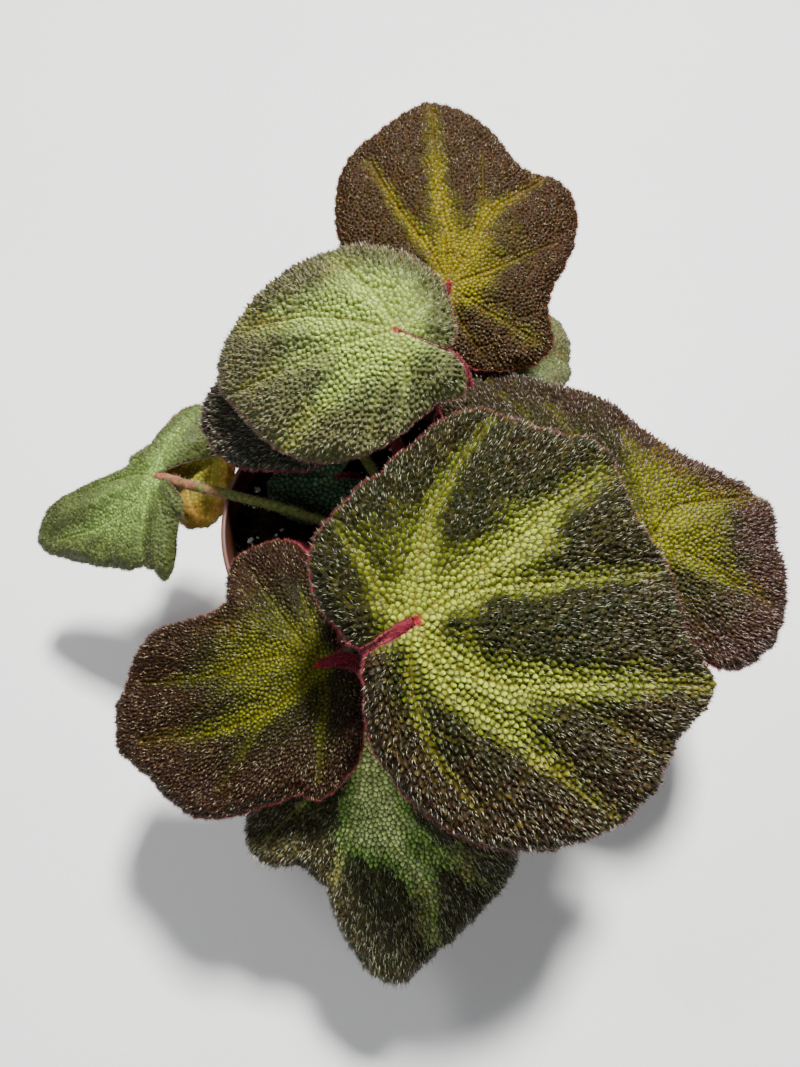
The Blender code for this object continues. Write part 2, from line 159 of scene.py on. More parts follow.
LEAVES = {
    "leaf_centre": Leaf(
        heading=-10, slope=-10, roll=10, step=0.345, bump=1.6, look="meadow",
        margin=[(-133, 14, 0), (-116, 21, -1), (-96, 33, -1), (-73, 49, -3),
                (-57, 61, -5), (-41, 71, -7), (-27, 78, -8), (-8, 82, -9),
                (0, 88, -10), (10, 79, -8), (25, 76, -8), (38, 72, -7),
                (55, 76, -8), (67, 67, -6), (84, 63, -5), (106, 45, -3),
                (132, 36, -2), (155, 33, -2), (175, 27, -1), (200, 19, -1),
                (219, 15, 0)],
        veins=[Vein([(-40, 0.14), (-23, 0.35), (-10, 0.52), (-2, 0.74), (1, 0.97)],
                    4.6, 2.6, 1.0),
               Vein([(52, 0.17), (49, 0.4), (51, 0.65), (50, 0.9)], 4.5, 3.5, 1.0),
               Vein([(39, 0.23), (28, 0.52), (24, 0.95)], 2.5, 1.5, 0.85),
               Vein([(97, 0.25), (92, 0.5), (86, 0.7), (80, 0.94)], 3.6, 1.3, 0.7),
               Vein([(-57, 0.13), (-48, 0.3), (-36, 0.5), (-33, 0.73), (-31, 0.95)],
                    3.6, 1.4, 0.85),
               Vein([(157, 0.28), (143, 0.56), (141, 0.92)], 2.2, 1.4, 0.8),
               Vein([(-82, 0.24), (-78, 0.42), (-68, 0.65), (-59, 0.85)], 2.2, 1.0, 0.5),
               Vein([(-20, 0.4), (-14, 0.6), (-15, 0.92)], 1.0, 1.2, 0.35)],
        patches=[Patch(112, 0.5, 10, 0.35), Patch(105, 0.25, 9, 0.42), Patch(47, 0.5, 9, 0.75),
                 Patch(60, 0.25, 7, 0.35), Patch(70, 0.1, 5, 0.35), Patch(-28, 0.42, 9, 0.6)],
        rust=[(-133, 0.8), (-57, 1.0), (-10, 0.75), (30, 0.4), (85, 0.45), (140, 0.2),
              (219, 0.3)],
        along=0.10, lean=-10, via=[(3, -47, 101), (-1, -52, 115), (2, -52, 128)],
        notch=1.3, arrive=17, blush=[(-133, -116), (208, 219)]),
    "leaf_front_left": Leaf(
        heading=199, slope=-12, roll=0, step=0.3, bump=1.2, look="olive",
        margin=[(-165, 8, 0), (-140, 9, 0), (-110, 22, -1), (-96, 39, -3),
                (-78, 46, -4), (-64, 46, -4), (-53, 39, -3), (-41, 46, -5),
                (-33, 59, -7), (-18, 67, -9), (-2, 71, -9), (10, 64, -8),
                (27, 58, -6), (50, 42, -3), (61, 37, -3), (70, 38, -3),
                (85, 33, -2), (111, 21, -1), (135, 14, 0), (150, 9, 0)],
        veins=[Vein([(30, 0.17), (19, 0.35), (10, 0.57), (0, 0.88)], 3, 1.4, 0.95),
               Vein([(22, 0.33), (26, 0.51), (29, 0.8)], 2, 1, 0.6),
               Vein([(80, 0.3), (74, 0.5), (71, 0.85)], 1.6, 1, 0.7),
               Vein([(-40, 0.16), (-25, 0.33), (-16, 0.58), (-17, 0.9)], 3, 1, 0.7),
               Vein([(-70, 0.25), (-70, 0.5), (-71, 0.85)], 1.5, 1.3, 0.35),
               Vein([(-100, 0.23), (-92, 0.6)], 1.8, 1, 0.6)],
        patches=[Patch(-35, 0.4, 12, 0.75), Patch(0, 0.3, 9, 0.6), Patch(-50, 0.25, 8, 0.65)],
        rust=[(-165, 0.8), (-60, 0.9), (0, 1.0), (80, 0.8), (150, 0.6)],
        along=0.03, lean=-58, via=[(0, -48, 95.5), (-4, -53, 101)],
        notch=1.5, arrive=20, blush=[(84, 150), (-165, -125), (-106, -90)]),
    "leaf_front": Leaf(
        # Its shade look paints sunlight into the blade's colours.
        heading=-87, slope=-22, roll=0, step=0.335, bump=1.4, look="shade",
        margin=[(-165, 12, 0), (-115, 18, -1), (-82, 27, -2), (-65, 40, -3),
                (-54, 51, -5), (-44, 53, -5), (-30, 47, -4), (-20, 51, -5),
                (-9, 69, -9), (0, 81, -12), (14, 72, -10), (30, 65, -8),
                (47, 58, -6), (62, 42, -4), (85, 30, -2), (115, 20, -1),
                (165, 12, 0)],
        veins=[Vein([(-10, 0.12), (0, 0.3), (8, 0.48), (15, 0.7), (12, 0.92)], 4, 2.2, 0.85),
               Vein([(-30, 0.12), (-17, 0.4), (-18, 0.88)], 3.5, 1.5, 0.6),
               Vein([(10, 0.3), (22, 0.55), (34, 0.95)], 3, 2, 0.5),
               Vein([(-50, 0.3), (-48, 0.85)], 2, 1, 0.2),
               Vein([(60, 0.3), (55, 0.85)], 2, 1, 0.3)],
        # The first patch is partly the blade's light vein zone and partly a painted pool of
        # sunlight on its crest.
        patches=[Patch(-4, 0.40, 7, 0.9), Patch(0, 0.3, 9, 0.4)],
        rust=[(-165, 1.0), (-55, 1.3), (-30, 0.8), (0, 0.7), (40, 0.7), (165, 0.6)],
        along=0.03, lean=25, via=[(9, -49, 96.5), (5, -60, 96)]),
    "leaf_back": Leaf(
        heading=96, slope=18, roll=0, step=0.31, bump=1.3, look="lemon",
        margin=[(-195, 20, -1), (-176, 26, -1), (-150, 33, -2), (-128, 39, -2),
                (-108, 33, -2), (-95, 34, -2), (-72, 46, -3), (-52, 53, -4),
                (-38, 48, -3), (-15, 60, -5), (-3, 65, -6), (16, 59, -5),
                (30, 55, -5), (50, 44, -3), (75, 32, -2), (100, 24, -1),
                (125, 19, -1), (148, 15, 0)],
        veins=[Vein([(-12, 0.2), (-3, 0.36), (-1, 0.6), (-1, 0.92)], 3, 2.2, 1.0),
               Vein([(0, 0.45), (5, 0.7)], 1.6, 1, 0.5),
               Vein([(22, 0.22), (26, 0.52), (25, 0.88)], 2.2, 1.5, 0.9),
               Vein([(-37, 0.28), (-35, 0.57), (-46, 0.95)], 3, 1.3, 1.0),
               Vein([(-30, 0.5), (-20, 0.82)], 1.6, 1, 0.35),
               Vein([(-75, 0.32), (-72, 0.8)], 1.6, 1, 0.4),
               Vein([(-132, 0.22), (-129, 0.5), (-128, 0.86)], 2.0, 1.6, 0.6),
               Vein([(-172, 0.3), (-158, 0.94)], 1.2, 0.8, 0.2)],
        patches=[Patch(-40, 0.25, 9, 0.9), Patch(-105, 0.2, 6, 0.75), Patch(10, 0.3, 8, 0.45),
                 Patch(-60, 0.45, 8, 0.25), Patch(-128, 0.75, 4, 0.5)],
        rust=[(-195, 0.3), (-108, 0.5), (-70, 0.9), (-40, 0.7), (0, 0.55), (50, 0.6), (148, 0.6)],
        along=0.88, lean=0, via=[(24, 38, 108), (24, 50, 122)],
        notch=1.0, arrive=40, blush=[(-195, -165)], quilt=0.5),
    "leaf_top": Leaf(
        heading=177, slope=-8, roll=-8, step=0.36, bump=1.6, look="mint",
        margin=[(-204.7, 16, 0), (-178, 17, -1), (-152, 17, -1), (-127, 20, -2),
                (-105, 24, -3), (-80, 31, -5), (-58, 39, -7), (-40, 46, -10),
                (-15, 56, -15), (0, 61, -18), (22, 53, -13), (50, 46, -10),
                (72, 38, -7), (97, 29, -4), (120, 25, -3), (135, 27, -3),
                (155, 18, -1)],
        veins=[Vein([(46, 0.12), (43, 0.4), (43, 0.95)], 5, 2.5, 0.9),
               Vein([(-62, 0.3), (-56, 0.63), (-53, 0.92)], 5, 2, 0.7),
               Vein([(-18, 0.15), (-17, 0.4), (-12, 0.88)], 7, 3, 0.95),
               Vein([(11, 0.12), (12, 0.5), (13, 0.9)], 4, 1.5, 0.5),
               Vein([(103, 0.25), (99, 0.55), (92, 0.9)], 1.5, 0.8, 0.6),
               Vein([(88, 0.3), (75, 0.6), (77, 0.9)], 2, 0.8, 0.3),
               Vein([(-135, 0.3), (-130, 0.6)], 2, 1, 0.7)],
        patches=[Patch(-30, 0.3, 13, 1.0), Patch(40, 0.25, 9, 0.9), Patch(-80, 0.4, 8, 0.7)],
        rust=[(-204, 0.4), (-60, 0.7), (0, 0.9), (40, 0.8), (70, 0.7), (155, 0.3)],
        along=0.79, lean=10, via=[(28, 25, 108), (30, 30, 122), (25, 33, 136)],
        notch=0.06),
    "leaf_right": Leaf(
        heading=8, slope=-14, roll=8, step=0.33, bump=1.4, look="moss",
        margin=[(-135, 14, 0), (-105, 22, -1), (-72, 34, -3), (-58, 45, -5),
                (-40, 51, -6), (-24, 54, -7), (5, 55, -8), (15, 58, -8),
                (33, 47, -6), (60, 40, -4), (75, 42, -4), (92, 53, -6),
                (112, 67, -7), (121, 76, -8), (128, 69, -6), (150, 42, -2),
                (180, 27, -1), (210, 17, 0)],
        veins=[Vein([(45, 0.4), (28, 0.62), (19, 0.96)], 4, 1.6, 0.9),
               Vein([(-10, 0.25), (-20, 0.49), (-23, 0.85)], 4, 1.8, 0.8),
               Vein([(70, 0.3), (80, 0.55), (88, 0.75)], 4, 2, 0.7),
               Vein([(105, 0.3), (112, 0.8)], 2, 1.6, 0.5),
               Vein([(122, 0.4), (122, 0.9)], 2, 1.2, 0.45),
               Vein([(-60, 0.3), (-60, 0.85)], 2, 1, 0.15)],
        patches=[Patch(40, 0.45, 13, 0.85), Patch(80, 0.5, 8, 0.7), Patch(0, 0.35, 9, 0.6)],
        rust=[(-135, 0.7), (-60, 0.9), (0, 1.0), (70, 0.9), (110, 0.5), (150, 0.2), (210, 0.2)],
        along=0.60, lean=55, via=[(30, -2, 98), (52, -16, 107), (72, -29, 110)],
        blush=[(-110, -62), (130, 160)],
        grow=[(104, 0), (118, 3), (128, 9), (136, 16), (146, 11), (160, 0)],
        sag=[(92, 0), (115, -9), (130, -12), (150, -9), (172, 0)],
        hem=[(-10, 0), (8, 3), (40, 5), (80, 5), (112, 3), (122, 0)]),
    "leaf_left": Leaf(
        heading=196, slope=-20, roll=0, step=0.42, bump=1.15, look="sage",
        margin=[(-168, 21, -2), (-155, 28, -3), (-133, 30, -3), (-102, 17, -2),
                (-60, 16, -2), (-24, 27, -3), (-10, 54, -7), (0, 59, -9),
                (14, 48, -9), (40, 36, -8), (63, 34, -7), (79, 34, -7),
                (100, 22, -3), (120, 19, 0), (138, 14, 1), (155, 8, 0)],
        veins=[Vein([(33, 0.17), (25, 0.35), (15, 0.6), (4, 0.85)], 2.5, 1.5, 0.9),
               Vein([(34, 0.28), (24, 0.52), (27, 0.85)], 2, 1.2, 0.7),
               Vein([(61, 0.16), (57, 0.42), (59, 0.85)], 2, 1.2, 0.8),
               Vein([(-120, 0.15), (-130, 0.5), (-136, 0.9)], 2.5, 1.5, 0.9),
               Vein([(-30, 0.2), (-15, 0.8)], 1.5, 1, 0.3)],
        patches=[Patch(5, 0.3, 11, 0.6), Patch(30, 0.6, 9, 0.4), Patch(-60, 0.4, 6, 0.4)],
        rust=[(-168, 1.0), (-145, 0.8), (-130, 0.3), (-60, 0.2), (0, 0.4), (79, 0.5), (155, 0.9)],
        along=0.43, lean=-60, via=[(-20, -1, 94), (-47, 8, 92.5), (-65, 14.5, 88)],
        arrive=None, grow=[(50, 0), (62, -3), (70, -1), (76, 3), (82, 2), (92, -3), (108, 0),
                           (122, -3), (132, -9), (140, -9), (155, -4)],
        sag=[(-168, -10), (-152, -8), (-136, 0), (155, 0)]),
    "leaf_far": Leaf(
        heading=-5, slope=-8, roll=0, step=0.5, bump=1.2, look="pale",
        margin=[(-150, 12, 0), (-110, 17, -1), (-70, 23, -2), (-30, 29, -3),
                (0, 31, -4), (40, 33, -3), (70, 27, -2), (110, 18, -1),
                (160, 12, 0)],
        veins=[Vein([(0, 0.3), (2, 0.9)], 3, 1.5, 0.8), Vein([(45, 0.3), (40, 0.9)], 2.5, 1.5, 0.7),
               Vein([(-45, 0.3), (-40, 0.9)], 2.5, 1.5, 0.7),
               Vein([(100, 0.3), (95, 0.85)], 2, 1, 0.5),
               Vein([(-100, 0.3), (-95, 0.85)], 2, 1, 0.5)],
        patches=[Patch(0, 0.3, 10, 0.6)],
        rust=[(-150, 1.0), (-70, 1.0), (-40, 0.3), (0, 0.3), (160, 0.3)],
        along=0.96, lean=35, via=[(34, 44, 96)]),
    "leaf_lower": Leaf(
        heading=180, slope=-14, roll=-10, step=0.46, bump=1.9, look="night",
        margin=[(-160, 12, 0), (-120, 18, -1), (-80, 26, -2), (-40, 36, -5),
                (-15, 44, -8), (5, 48, -9), (25, 42, -8), (50, 32, -4),
                (85, 25, -2), (120, 20, -1), (160, 12, 0)],
        veins=[Vein([(5, 0.3), (8, 0.9)], 3, 1.2, 0.4),
               Vein([(50, 0.3), (45, 0.9)], 2.5, 1.2, 0.35),
               Vein([(-50, 0.3), (-45, 0.9)], 2.5, 1.2, 0.4),
               Vein([(95, 0.3), (90, 0.85)], 2, 1, 0.3),
               Vein([(-95, 0.3), (-90, 0.85)], 2, 1, 0.3)],
        patches=[Patch(0, 0.2, 10, 0.6)],
        rust=[(-160, 0.4), (0, 0.6), (30, 0.5), (60, 0.3), (160, 0.2)],
        along=0.70, lean=-15, via=[(7, 22, 105), (-2, 29, 117)]),
    "leaf_small": Leaf(
        heading=205, slope=-4, roll=0, step=0.42, bump=1.8, look="teal",
        margin=[(-150, 8, 0), (-100, 13, 0), (-50, 20, -1), (-15, 24, -1),
                (20, 21, -1), (60, 15, -1), (100, 10, 0), (150, 8, 0)],
        veins=[Vein([(0, 0.3), (0, 0.9)], 1.5, 0.8, 0.3),
               Vein([(45, 0.3), (42, 0.9)], 1.2, 0.7, 0.25),
               Vein([(-45, 0.3), (-42, 0.9)], 1.2, 0.7, 0.25)],
        patches=[Patch(0, 0.2, 5, 0.3)],
        rust=[(-150, 0.2), (0, 0.2), (150, 0.2)],
        along=0.53, lean=-55, via=[(-3, 11, 87.5)]),
    "leaf_old": Leaf(
        heading=215, slope=-20, roll=-6, step=0.5, bump=1.3, look="straw",
        margin=[(-150, 8, 0), (-100, 14, 0), (-60, 20, -1), (-20, 24, -2),
                (10, 28, -2), (41, 34, -3), (60, 26, -2), (80, 16, -1),
                (100, 11, 0), (125, 9, 0), (150, 8, 0)],
        veins=[Vein([(10, 0.3), (12, 0.9)], 2, 1.2, 0.5), Vein([(50, 0.3), (45, 0.9)], 2, 1.2, 0.5),
               Vein([(-45, 0.3), (-40, 0.9)], 2, 1.2, 0.5)],
        patches=[Patch(20, 0.4, 8, 0.5)],
        rust=[(-150, 0.6), (0, 0.4), (40, 0.7), (150, 0.6)],
        along=0.62, lean=-35, via=[(-8, 24, 100), (-38, 34, 100), (-52, 40, 90)],
        grow=[(42, 0), (60, 2.2), (80, 2.6), (108, 0)]),
}

# Looks of the blades: the vein light, the green beside it, the dark green, the outer
# brown, the creases (partly their own dark colour, partly painted shade), the fringe of
# hairs at the margin, and how high the puckers stand.
Look = namedtuple("Look", "lime leaf green rust crease fringe relief")

LOOKS = {
    "meadow": Look((0.31, 0.37, 0.036), (0.078, 0.096, 0.004), (0.010, 0.015, 0.001),
                   (0.019, 0.008, 0.002), (0.010, 0.006, 0.001), (0.24, 0.05, 0.05), 1.15),
    "olive": Look((0.110, 0.120, 0.001), (0.044, 0.052, 0.001), (0.017, 0.017, 0.001),
                  (0.022, 0.006, 0.001), (0.006, 0.002, 0.001), (0.26, 0.03, 0.03), 1.15),
    # The shade look's lime and leaf colours are painted sunlight: far brighter than the blade's own
    # colours, they stand in for the sun that the leaves above keep off it.
    "shade": Look((0.80, 1.00, 0.380), (0.23, 0.42, 0.080), (0.022, 0.022, 0.007),
                  (0.024, 0.010, 0.004), (0.022, 0.030, 0.008), (0.10, 0.05, 0.04), 1.1),
    "lemon": Look((0.195, 0.190, 0.002), (0.048, 0.058, 0.001), (0.014, 0.015, 0.001),
                  (0.015, 0.009, 0.001), (0.034, 0.008, 0.001), (0.20, 0.045, 0.02), 0.85),
    "mint": Look((0.32, 0.45, 0.075), (0.18, 0.23, 0.060), (0.062, 0.070, 0.022),
                 (0.062, 0.045, 0.022), (0.060, 0.074, 0.022), (0.26, 0.12, 0.09), 1.1),
    "moss": Look((0.160, 0.170, 0.003), (0.070, 0.078, 0.002), (0.022, 0.025, 0.003),
                 (0.036, 0.014, 0.008), (0.012, 0.005, 0.003), (0.24, 0.06, 0.05), 1.1),
    "sage": Look((0.20, 0.35, 0.080), (0.11, 0.17, 0.040), (0.055, 0.075, 0.022),
                 (0.038, 0.037, 0.011), (0.065, 0.090, 0.026), (0.20, 0.18, 0.10), 0.6),
    "pale": Look((0.16, 0.22, 0.080), (0.12, 0.16, 0.060), (0.090, 0.120, 0.050),
                 (0.220, 0.085, 0.018), (0.060, 0.065, 0.026), (0.22, 0.16, 0.10), 0.5),
    "night": Look((0.08, 0.13, 0.060), (0.04, 0.065, 0.032), (0.022, 0.038, 0.020),
                  (0.034, 0.014, 0.011), (0.008, 0.006, 0.004), (0.30, 0.03, 0.05), 1.0),
    # This look is the small leaf's own teal hue, brightened as painted light so that it shows in
    # the shade of the pot.
    "teal": Look((0.13, 0.28, 0.140), (0.07, 0.16, 0.080), (0.055, 0.12, 0.062),
                 (0.04, 0.07, 0.035), (0.010, 0.022, 0.012), (0.15, 0.20, 0.12), 0.8),
    # This look is the old leaf's own pale straw colour, brightened further to paint the light that
    # shines through it.
    "straw": Look((0.38, 0.44, 0.060), (0.31, 0.35, 0.040), (0.28, 0.27, 0.032),
                  (0.34, 0.14, 0.025), (0.20, 0.14, 0.026), (0.15, 0.10, 0.04), 0.25),
}

BUD_STALK = (0.28, -50, [(-6, -20, 92)])
BUD_PLACE = (-22, -14, 96.5)
BUD_AIM = (-0.92, 0.10, 0.38)
BUD_LENGTH = 13.0
BUD_RADIUS = 2.8
BUD_RINGS = 26
BUD_SIDES = 24
BUD_BRISTLES = 900


# ---------------------------------------------------------------- small helpers

def ease_through(marks, values, places):
    """Cubic interpolation through the values, with slopes from their neighbours."""
    slopes = np.gradient(values, marks)
    span = np.clip(np.searchsorted(marks, places) - 1, 0, len(marks) - 2)
    width = marks[span + 1] - marks[span]
    part = (places - marks[span]) / width
    rise = part * part * (3 - 2 * part)
    return ((1 - rise) * values[span] + rise * values[span + 1]
            + width * part * (1 - part) ** 2 * slopes[span]
            - width * part ** 2 * (1 - part) * slopes[span + 1])


def marks_along(line):
    """How far along a line each of its points lies."""
    strides = np.linalg.norm(np.diff(line, axis=0), axis=1)
    return np.concatenate([[0.0], np.cumsum(strides)])


def evenly(line, step):
    """Flat points about a step apart along a line of flat points."""
    marks = marks_along(line)
    places = np.linspace(0, marks[-1], int(marks[-1] / step))
    return np.stack([np.interp(places, marks, line[:, k]) for k in (0, 1)], axis=1)


def flat_at(bearing, reach):
    """Flat points at bearings in degrees and at distances from the joint."""
    turn = np.radians(bearing)
    return np.stack([reach * np.cos(turn), reach * np.sin(turn)], axis=-1)


def smooth_course(points, spacing):
    """Points of a smooth curve through the given ones, about spacing apart."""
    knots = np.array(points, dtype=float)
    marks = marks_along(knots)
    count = max(3, int(round(marks[-1] / spacing)) + 1)
    places = np.linspace(0.0, marks[-1], count)
    axes = range(knots.shape[1])
    return np.stack([ease_through(marks, knots[:, k], places) for k in axes], axis=1)


def steps_at(pairs, bearing):
    """Straight steps through pairs of (bearing, amount)."""
    return np.interp(bearing, *np.array(pairs, dtype=float).T)


def fade(low, high, value):
    """Smooth step from 0 at low to 1 at high."""
    part = np.clip((value - low) / (high - low), 0.0, 1.0)
    return part * part * (3 - 2 * part)


def unit(vectors):
    """Vectors scaled to length one."""
    return vectors / np.maximum(np.linalg.norm(vectors, axis=-1, keepdims=True), 1e-9)


def add_object(name, data):
    """A new object in the scene for a mesh, a lamp or a camera."""
    made = bpy.data.objects.new(name, data)
    bpy.context.scene.collection.objects.link(made)
    return made


def make_piece(name, vertices, faces, skin):
    """A mesh of the given millimetre points as one finished piece."""
    mesh = bpy.data.meshes.new(name)
    mesh.from_pydata((np.asarray(vertices) * MM).tolist(), [], faces)
    mesh.materials.append(MATERIALS[skin])
    mesh.shade_smooth()
    piece = add_object(name, mesh)
    settle(piece)
    return piece


def settle(piece):
    """Let a finished piece ride on the plant's only body."""
    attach(piece, "root")


def add_attribute(piece, name, values):
    """One number for each vertex of a piece."""
    layer = piece.data.attributes.new(name, "FLOAT", "POINT")
    layer.data.foreach_set("value", np.asarray(values, dtype=np.float32))


# ---------------------------------------------------------------- leaf blades

def blade_axes(leaf):
    """Unit vectors of a blade: towards its tip, towards its left side, and up."""
    heading = math.radians(leaf.heading)
    slope = math.radians(leaf.slope)
    roll = math.radians(leaf.roll)
    tip = np.array([math.cos(heading) * math.cos(slope),
                    math.sin(heading) * math.cos(slope), math.sin(slope)])
    level = np.array([-math.sin(heading), math.cos(heading), 0.0])
    steep = np.cross(tip, level)
    side = level * math.cos(roll) + steep * math.sin(roll)
    face = steep * math.cos(roll) - level * math.sin(roll)
    return np.array([tip, side, face])


class Sheet:
    """A blade laid flat: its outline, the height of its form anywhere, and its place."""

    def __init__(self, name, leaf, seed):
        self.leaf = leaf
        self.seed = seed
        self.bearings, self.reaches, self.lifts = np.array(leaf.margin, dtype=float).T
        self.middle = (self.bearings[0] + self.bearings[-1]) / 2
        self.fine = np.linspace(self.bearings[0], self.bearings[-1], MARGIN_POINTS)
        self.fine_reach = ease_through(self.bearings, self.reaches, self.fine)
        marks = marks_along(self.margin_line())
        crimp = np.array([noise.noise((mark / CRIMP_LENGTH, seed, 0.0))
                          for mark in marks.tolist()])
        tooth = np.abs(np.sin((marks + 2.0 * crimp) / SCALLOP * math.pi))
        self.fine_reach += TOOTH_DEPTH * (tooth - 0.7) + CRIMP_DEPTH * crimp
        self.fine_reach += steps_at(leaf.grow, self.fine)
        self.notch = self.notch_line()
        self.veins = [self.vein_line(vein) for vein in leaf.veins]
        self.axes = blade_axes(leaf)
        self.joint = self.seat(name)

    def seat(self, name):
        """Where the blade's joint lies, from the box of its node in the frame."""
        bearings = np.linspace(self.bearings[0], self.bearings[-1], 41)
        reach = ease_through(self.bearings, self.reaches, bearings)
        lift = ease_through(self.bearings, self.lifts, bearings)
        rows = [np.column_stack([flat_at(bearings, share * reach), share ** BLADE_CURVE * lift])
                for share in np.linspace(0, 1, 11)]
        form = np.concatenate(rows) @ self.axes
        both = np.concatenate([form, form - self.axes[2] * BLADE_THICKNESS])
        low, high = (np.array(corner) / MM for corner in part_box(name))
        return (low + high) / 2 - (both.min(axis=0) + both.max(axis=0)) / 2

    def place(self, spots):
        """Points over the flat sheet, set in their place on the plant."""
        return spots @ self.axes + self.joint

    def margin_line(self):
        """The margin as a fine line of flat points."""
        return flat_at(self.fine, self.fine_reach)

    def notch_line(self):
        """The edge of the notch: in along one side, round its end and out along the other."""
        first, last = self.margin_line()[[0, -1]]
        turn = math.radians(self.middle + 180)
        out = np.array([math.cos(turn), math.sin(turn)])
        across = np.array([-out[1], out[0]])
        self.notch_way = out
        self.notch_side = across
        self.mouth = {-1: last, 1: first}
        line = [last]
        for side in (-1, 1):
            corner = self.mouth[side]
            leg = []
            for part in np.linspace(1, 0, 60)[1:]:
                along = corner @ out * part
                if along > self.leaf.notch:
                    leg.append(out * along + across * side * self.notch_half(part, corner))
            line += leg if side < 0 else leg[::-1]
            if side < 0:
                for angle in np.radians(np.linspace(-75, 75, 6)):
                    bow = out * (1 - math.cos(angle)) + across * math.sin(angle)
                    line.append(bow * self.leaf.notch)
        line.append(first)
        return np.array(line)

    def notch_half(self, part, corner):
        """Half the notch's width at a share of the way from the joint to its mouth."""
        open_half = abs(corner @ self.notch_side) * part
        return np.maximum(open_half, self.leaf.notch * (1 - fade(0.6, 1.0, part)))

    def in_notch(self, flat):
        """Whether flat points lie in the notch."""
        along = flat @ self.notch_way
        sideways = flat @ self.notch_side
        turn = np.degrees(np.arctan2(flat[:, 1], flat[:, 0]))
        turn = (turn - self.middle + 180) % 360 - 180 + self.middle
        inside = (turn <= self.bearings[0]) | (turn >= self.bearings[-1])
        for side, corner in self.mouth.items():
            half = self.notch_half(along / (corner @ self.notch_way), corner)
            inside |= (sideways * side >= 0) & (np.abs(sideways) < half)
        return inside & (along > 0)

    def vein_line(self, vein):
        """A vein's course as flat points about one millimetre apart."""
        bearings, shares = np.array(vein.course).T
        spots = flat_at(bearings, shares * self.reach(bearings))
        return smooth_course([(0.0, 0.0), *spots], 1.0)

    def reach(self, bearing):
        """How far the margin lies from the joint."""
        return np.interp(bearing, self.fine, self.fine_reach)

    def lift(self, bearing):
        """How high the margin lies over the blade's plane."""
        return ease_through(self.bearings, self.lifts, bearing) + steps_at(self.leaf.sag, bearing)

    def polar(self, flat):
        """Bearing, distance and share of the reach of flat points."""
        bearing = np.degrees(np.arctan2(flat[:, 1], flat[:, 0]))
        bearing = (bearing - self.middle + 180) % 360 - 180 + self.middle
        bearing = np.clip(bearing, self.bearings[0], self.bearings[-1])
        distance = np.hypot(flat[:, 0], flat[:, 1])
        return bearing, distance, distance / self.reach(bearing)

    def height(self, flat):
        """Height of the smooth domed form over the blade's plane."""
        bearing, _, share = self.polar(flat)
        return share ** BLADE_CURVE * self.lift(bearing)

    def hem_drop(self, flat, edge):
        """How far the folded strip along the margin hangs below the smooth form."""
        drop = steps_at(self.leaf.hem, self.polar(flat)[0])
        return drop * np.clip(1 - edge / HEM_WIDTH, 0, 1)

    def notch_gap(self, flat):
        """Distance of flat points from the edge of the notch."""
        return line_distance(flat, self.notch)[0]

    def edge_gap(self, flat):
        """Distance of flat points from the margin or the notch, whichever is nearer."""
        _, distance, share = self.polar(flat)
        return np.minimum((1 - share) * distance / np.maximum(share, 1e-3),
                          self.notch_gap(flat))

    def vein_gap(self, flat):
        """Distance of flat points from the nearest vein."""
        return np.min([line_distance(flat, line)[0] for line in self.veins], axis=0)

    def vein_beads(self, spacing, most, clear):
        """Flat points along the veins, inside a share of the reach and clear of the notch."""
        beads = np.concatenate([smooth_course(line[::3], spacing) for line in self.veins])
        return beads[self.within(beads, most, clear)]

    def swelling(self, vein_gap):
        """Height of the blade's swelling between its veins, less the groove along them."""
        swell = self.leaf.quilt * QUILT_HEIGHT * fade(0, QUILT_WIDTH, vein_gap)
        return swell - GROOVE_DEPTH * (1 - fade(0, GROOVE_WIDTH, vein_gap))

    def waves(self, flat):
        """Height of the slow waves, which are strongest at the margin."""
        return cobweb(flat, WAVE_LENGTH, self.seed) * WAVE_HEIGHT * self.polar(flat)[2] ** 2

    def smooth_form(self, flat, edge, relief):
        """Height of the blade with its larger relief, level at the margin and the joint."""
        distance = np.linalg.norm(flat, axis=1)
        return self.height(flat) + relief * fade(0, EDGE_BLEND, edge) * fade(
            0, JOINT_BLEND, distance)

    def within(self, flat, most, clear):
        """Whether flat points lie inside a share of the reach and clear of the notch."""
        inside = (self.polar(flat)[2] < most) & ~self.in_notch(flat)
        return inside & (self.notch_gap(flat) > clear)

    def outline(self, step):
        """The margin with its fine teeth, then the edge of the notch."""
        return np.concatenate([evenly(self.margin_line(), step), evenly(self.notch, step)[1:-1]])

    def lattice(self, step, clear):
        """Flat points on a triangular grid inside the outline."""
        far = self.reaches.max() + step
        across = np.arange(-far, far, step)
        up = np.arange(-far, far, step * math.sqrt(3) / 2)
        flat = np.array([(x + (k % 2) * step / 2, y) for k, y in enumerate(up) for x in across])
        bearing, distance, _ = self.polar(flat)
        flat = flat[(distance < self.reach(bearing) - clear) & ~self.in_notch(flat)]
        return flat[self.notch_gap(flat) > clear]


def line_distance(flat, line):
    """Distance of flat points from a line of points, and how far along it they lie."""
    best = np.full(len(flat), 1e9)
    along = np.zeros(len(flat))
    last = len(line) - 1
    for index in range(last):
        start, run = line[index], line[index + 1] - line[index]
        part = np.clip((flat - start) @ run / (run @ run), 0, 1)
        gap = np.linalg.norm(flat - start - part[:, None] * run, axis=1)
        nearer = gap < best
        best[nearer] = gap[nearer]
        along[nearer] = (index + part[nearer]) / last
    return best, along


def flat_tree(spots):
    """A search tree of points by where they lie on the flat blade."""
    tree = KDTree(len(spots))
    for index, spot in enumerate(spots.tolist()):
        tree.insert((spot[0], spot[1], 0.0), index)
    tree.balance()
    return tree


def nearest_two(centres, flat):
    """For each flat point, its nearest centre and the distances to the nearest two."""
    tree = flat_tree(centres)
    index = np.zeros(len(flat), dtype=int)
    first = np.zeros(len(flat))
    second = np.zeros(len(flat))
    for k, (x, y) in enumerate(flat.tolist()):
        (_, a, near), (_, _, far) = tree.find_n((x, y, 0.0), 2)
        index[k], first[k], second[k] = a, near, far
    return index, first, second


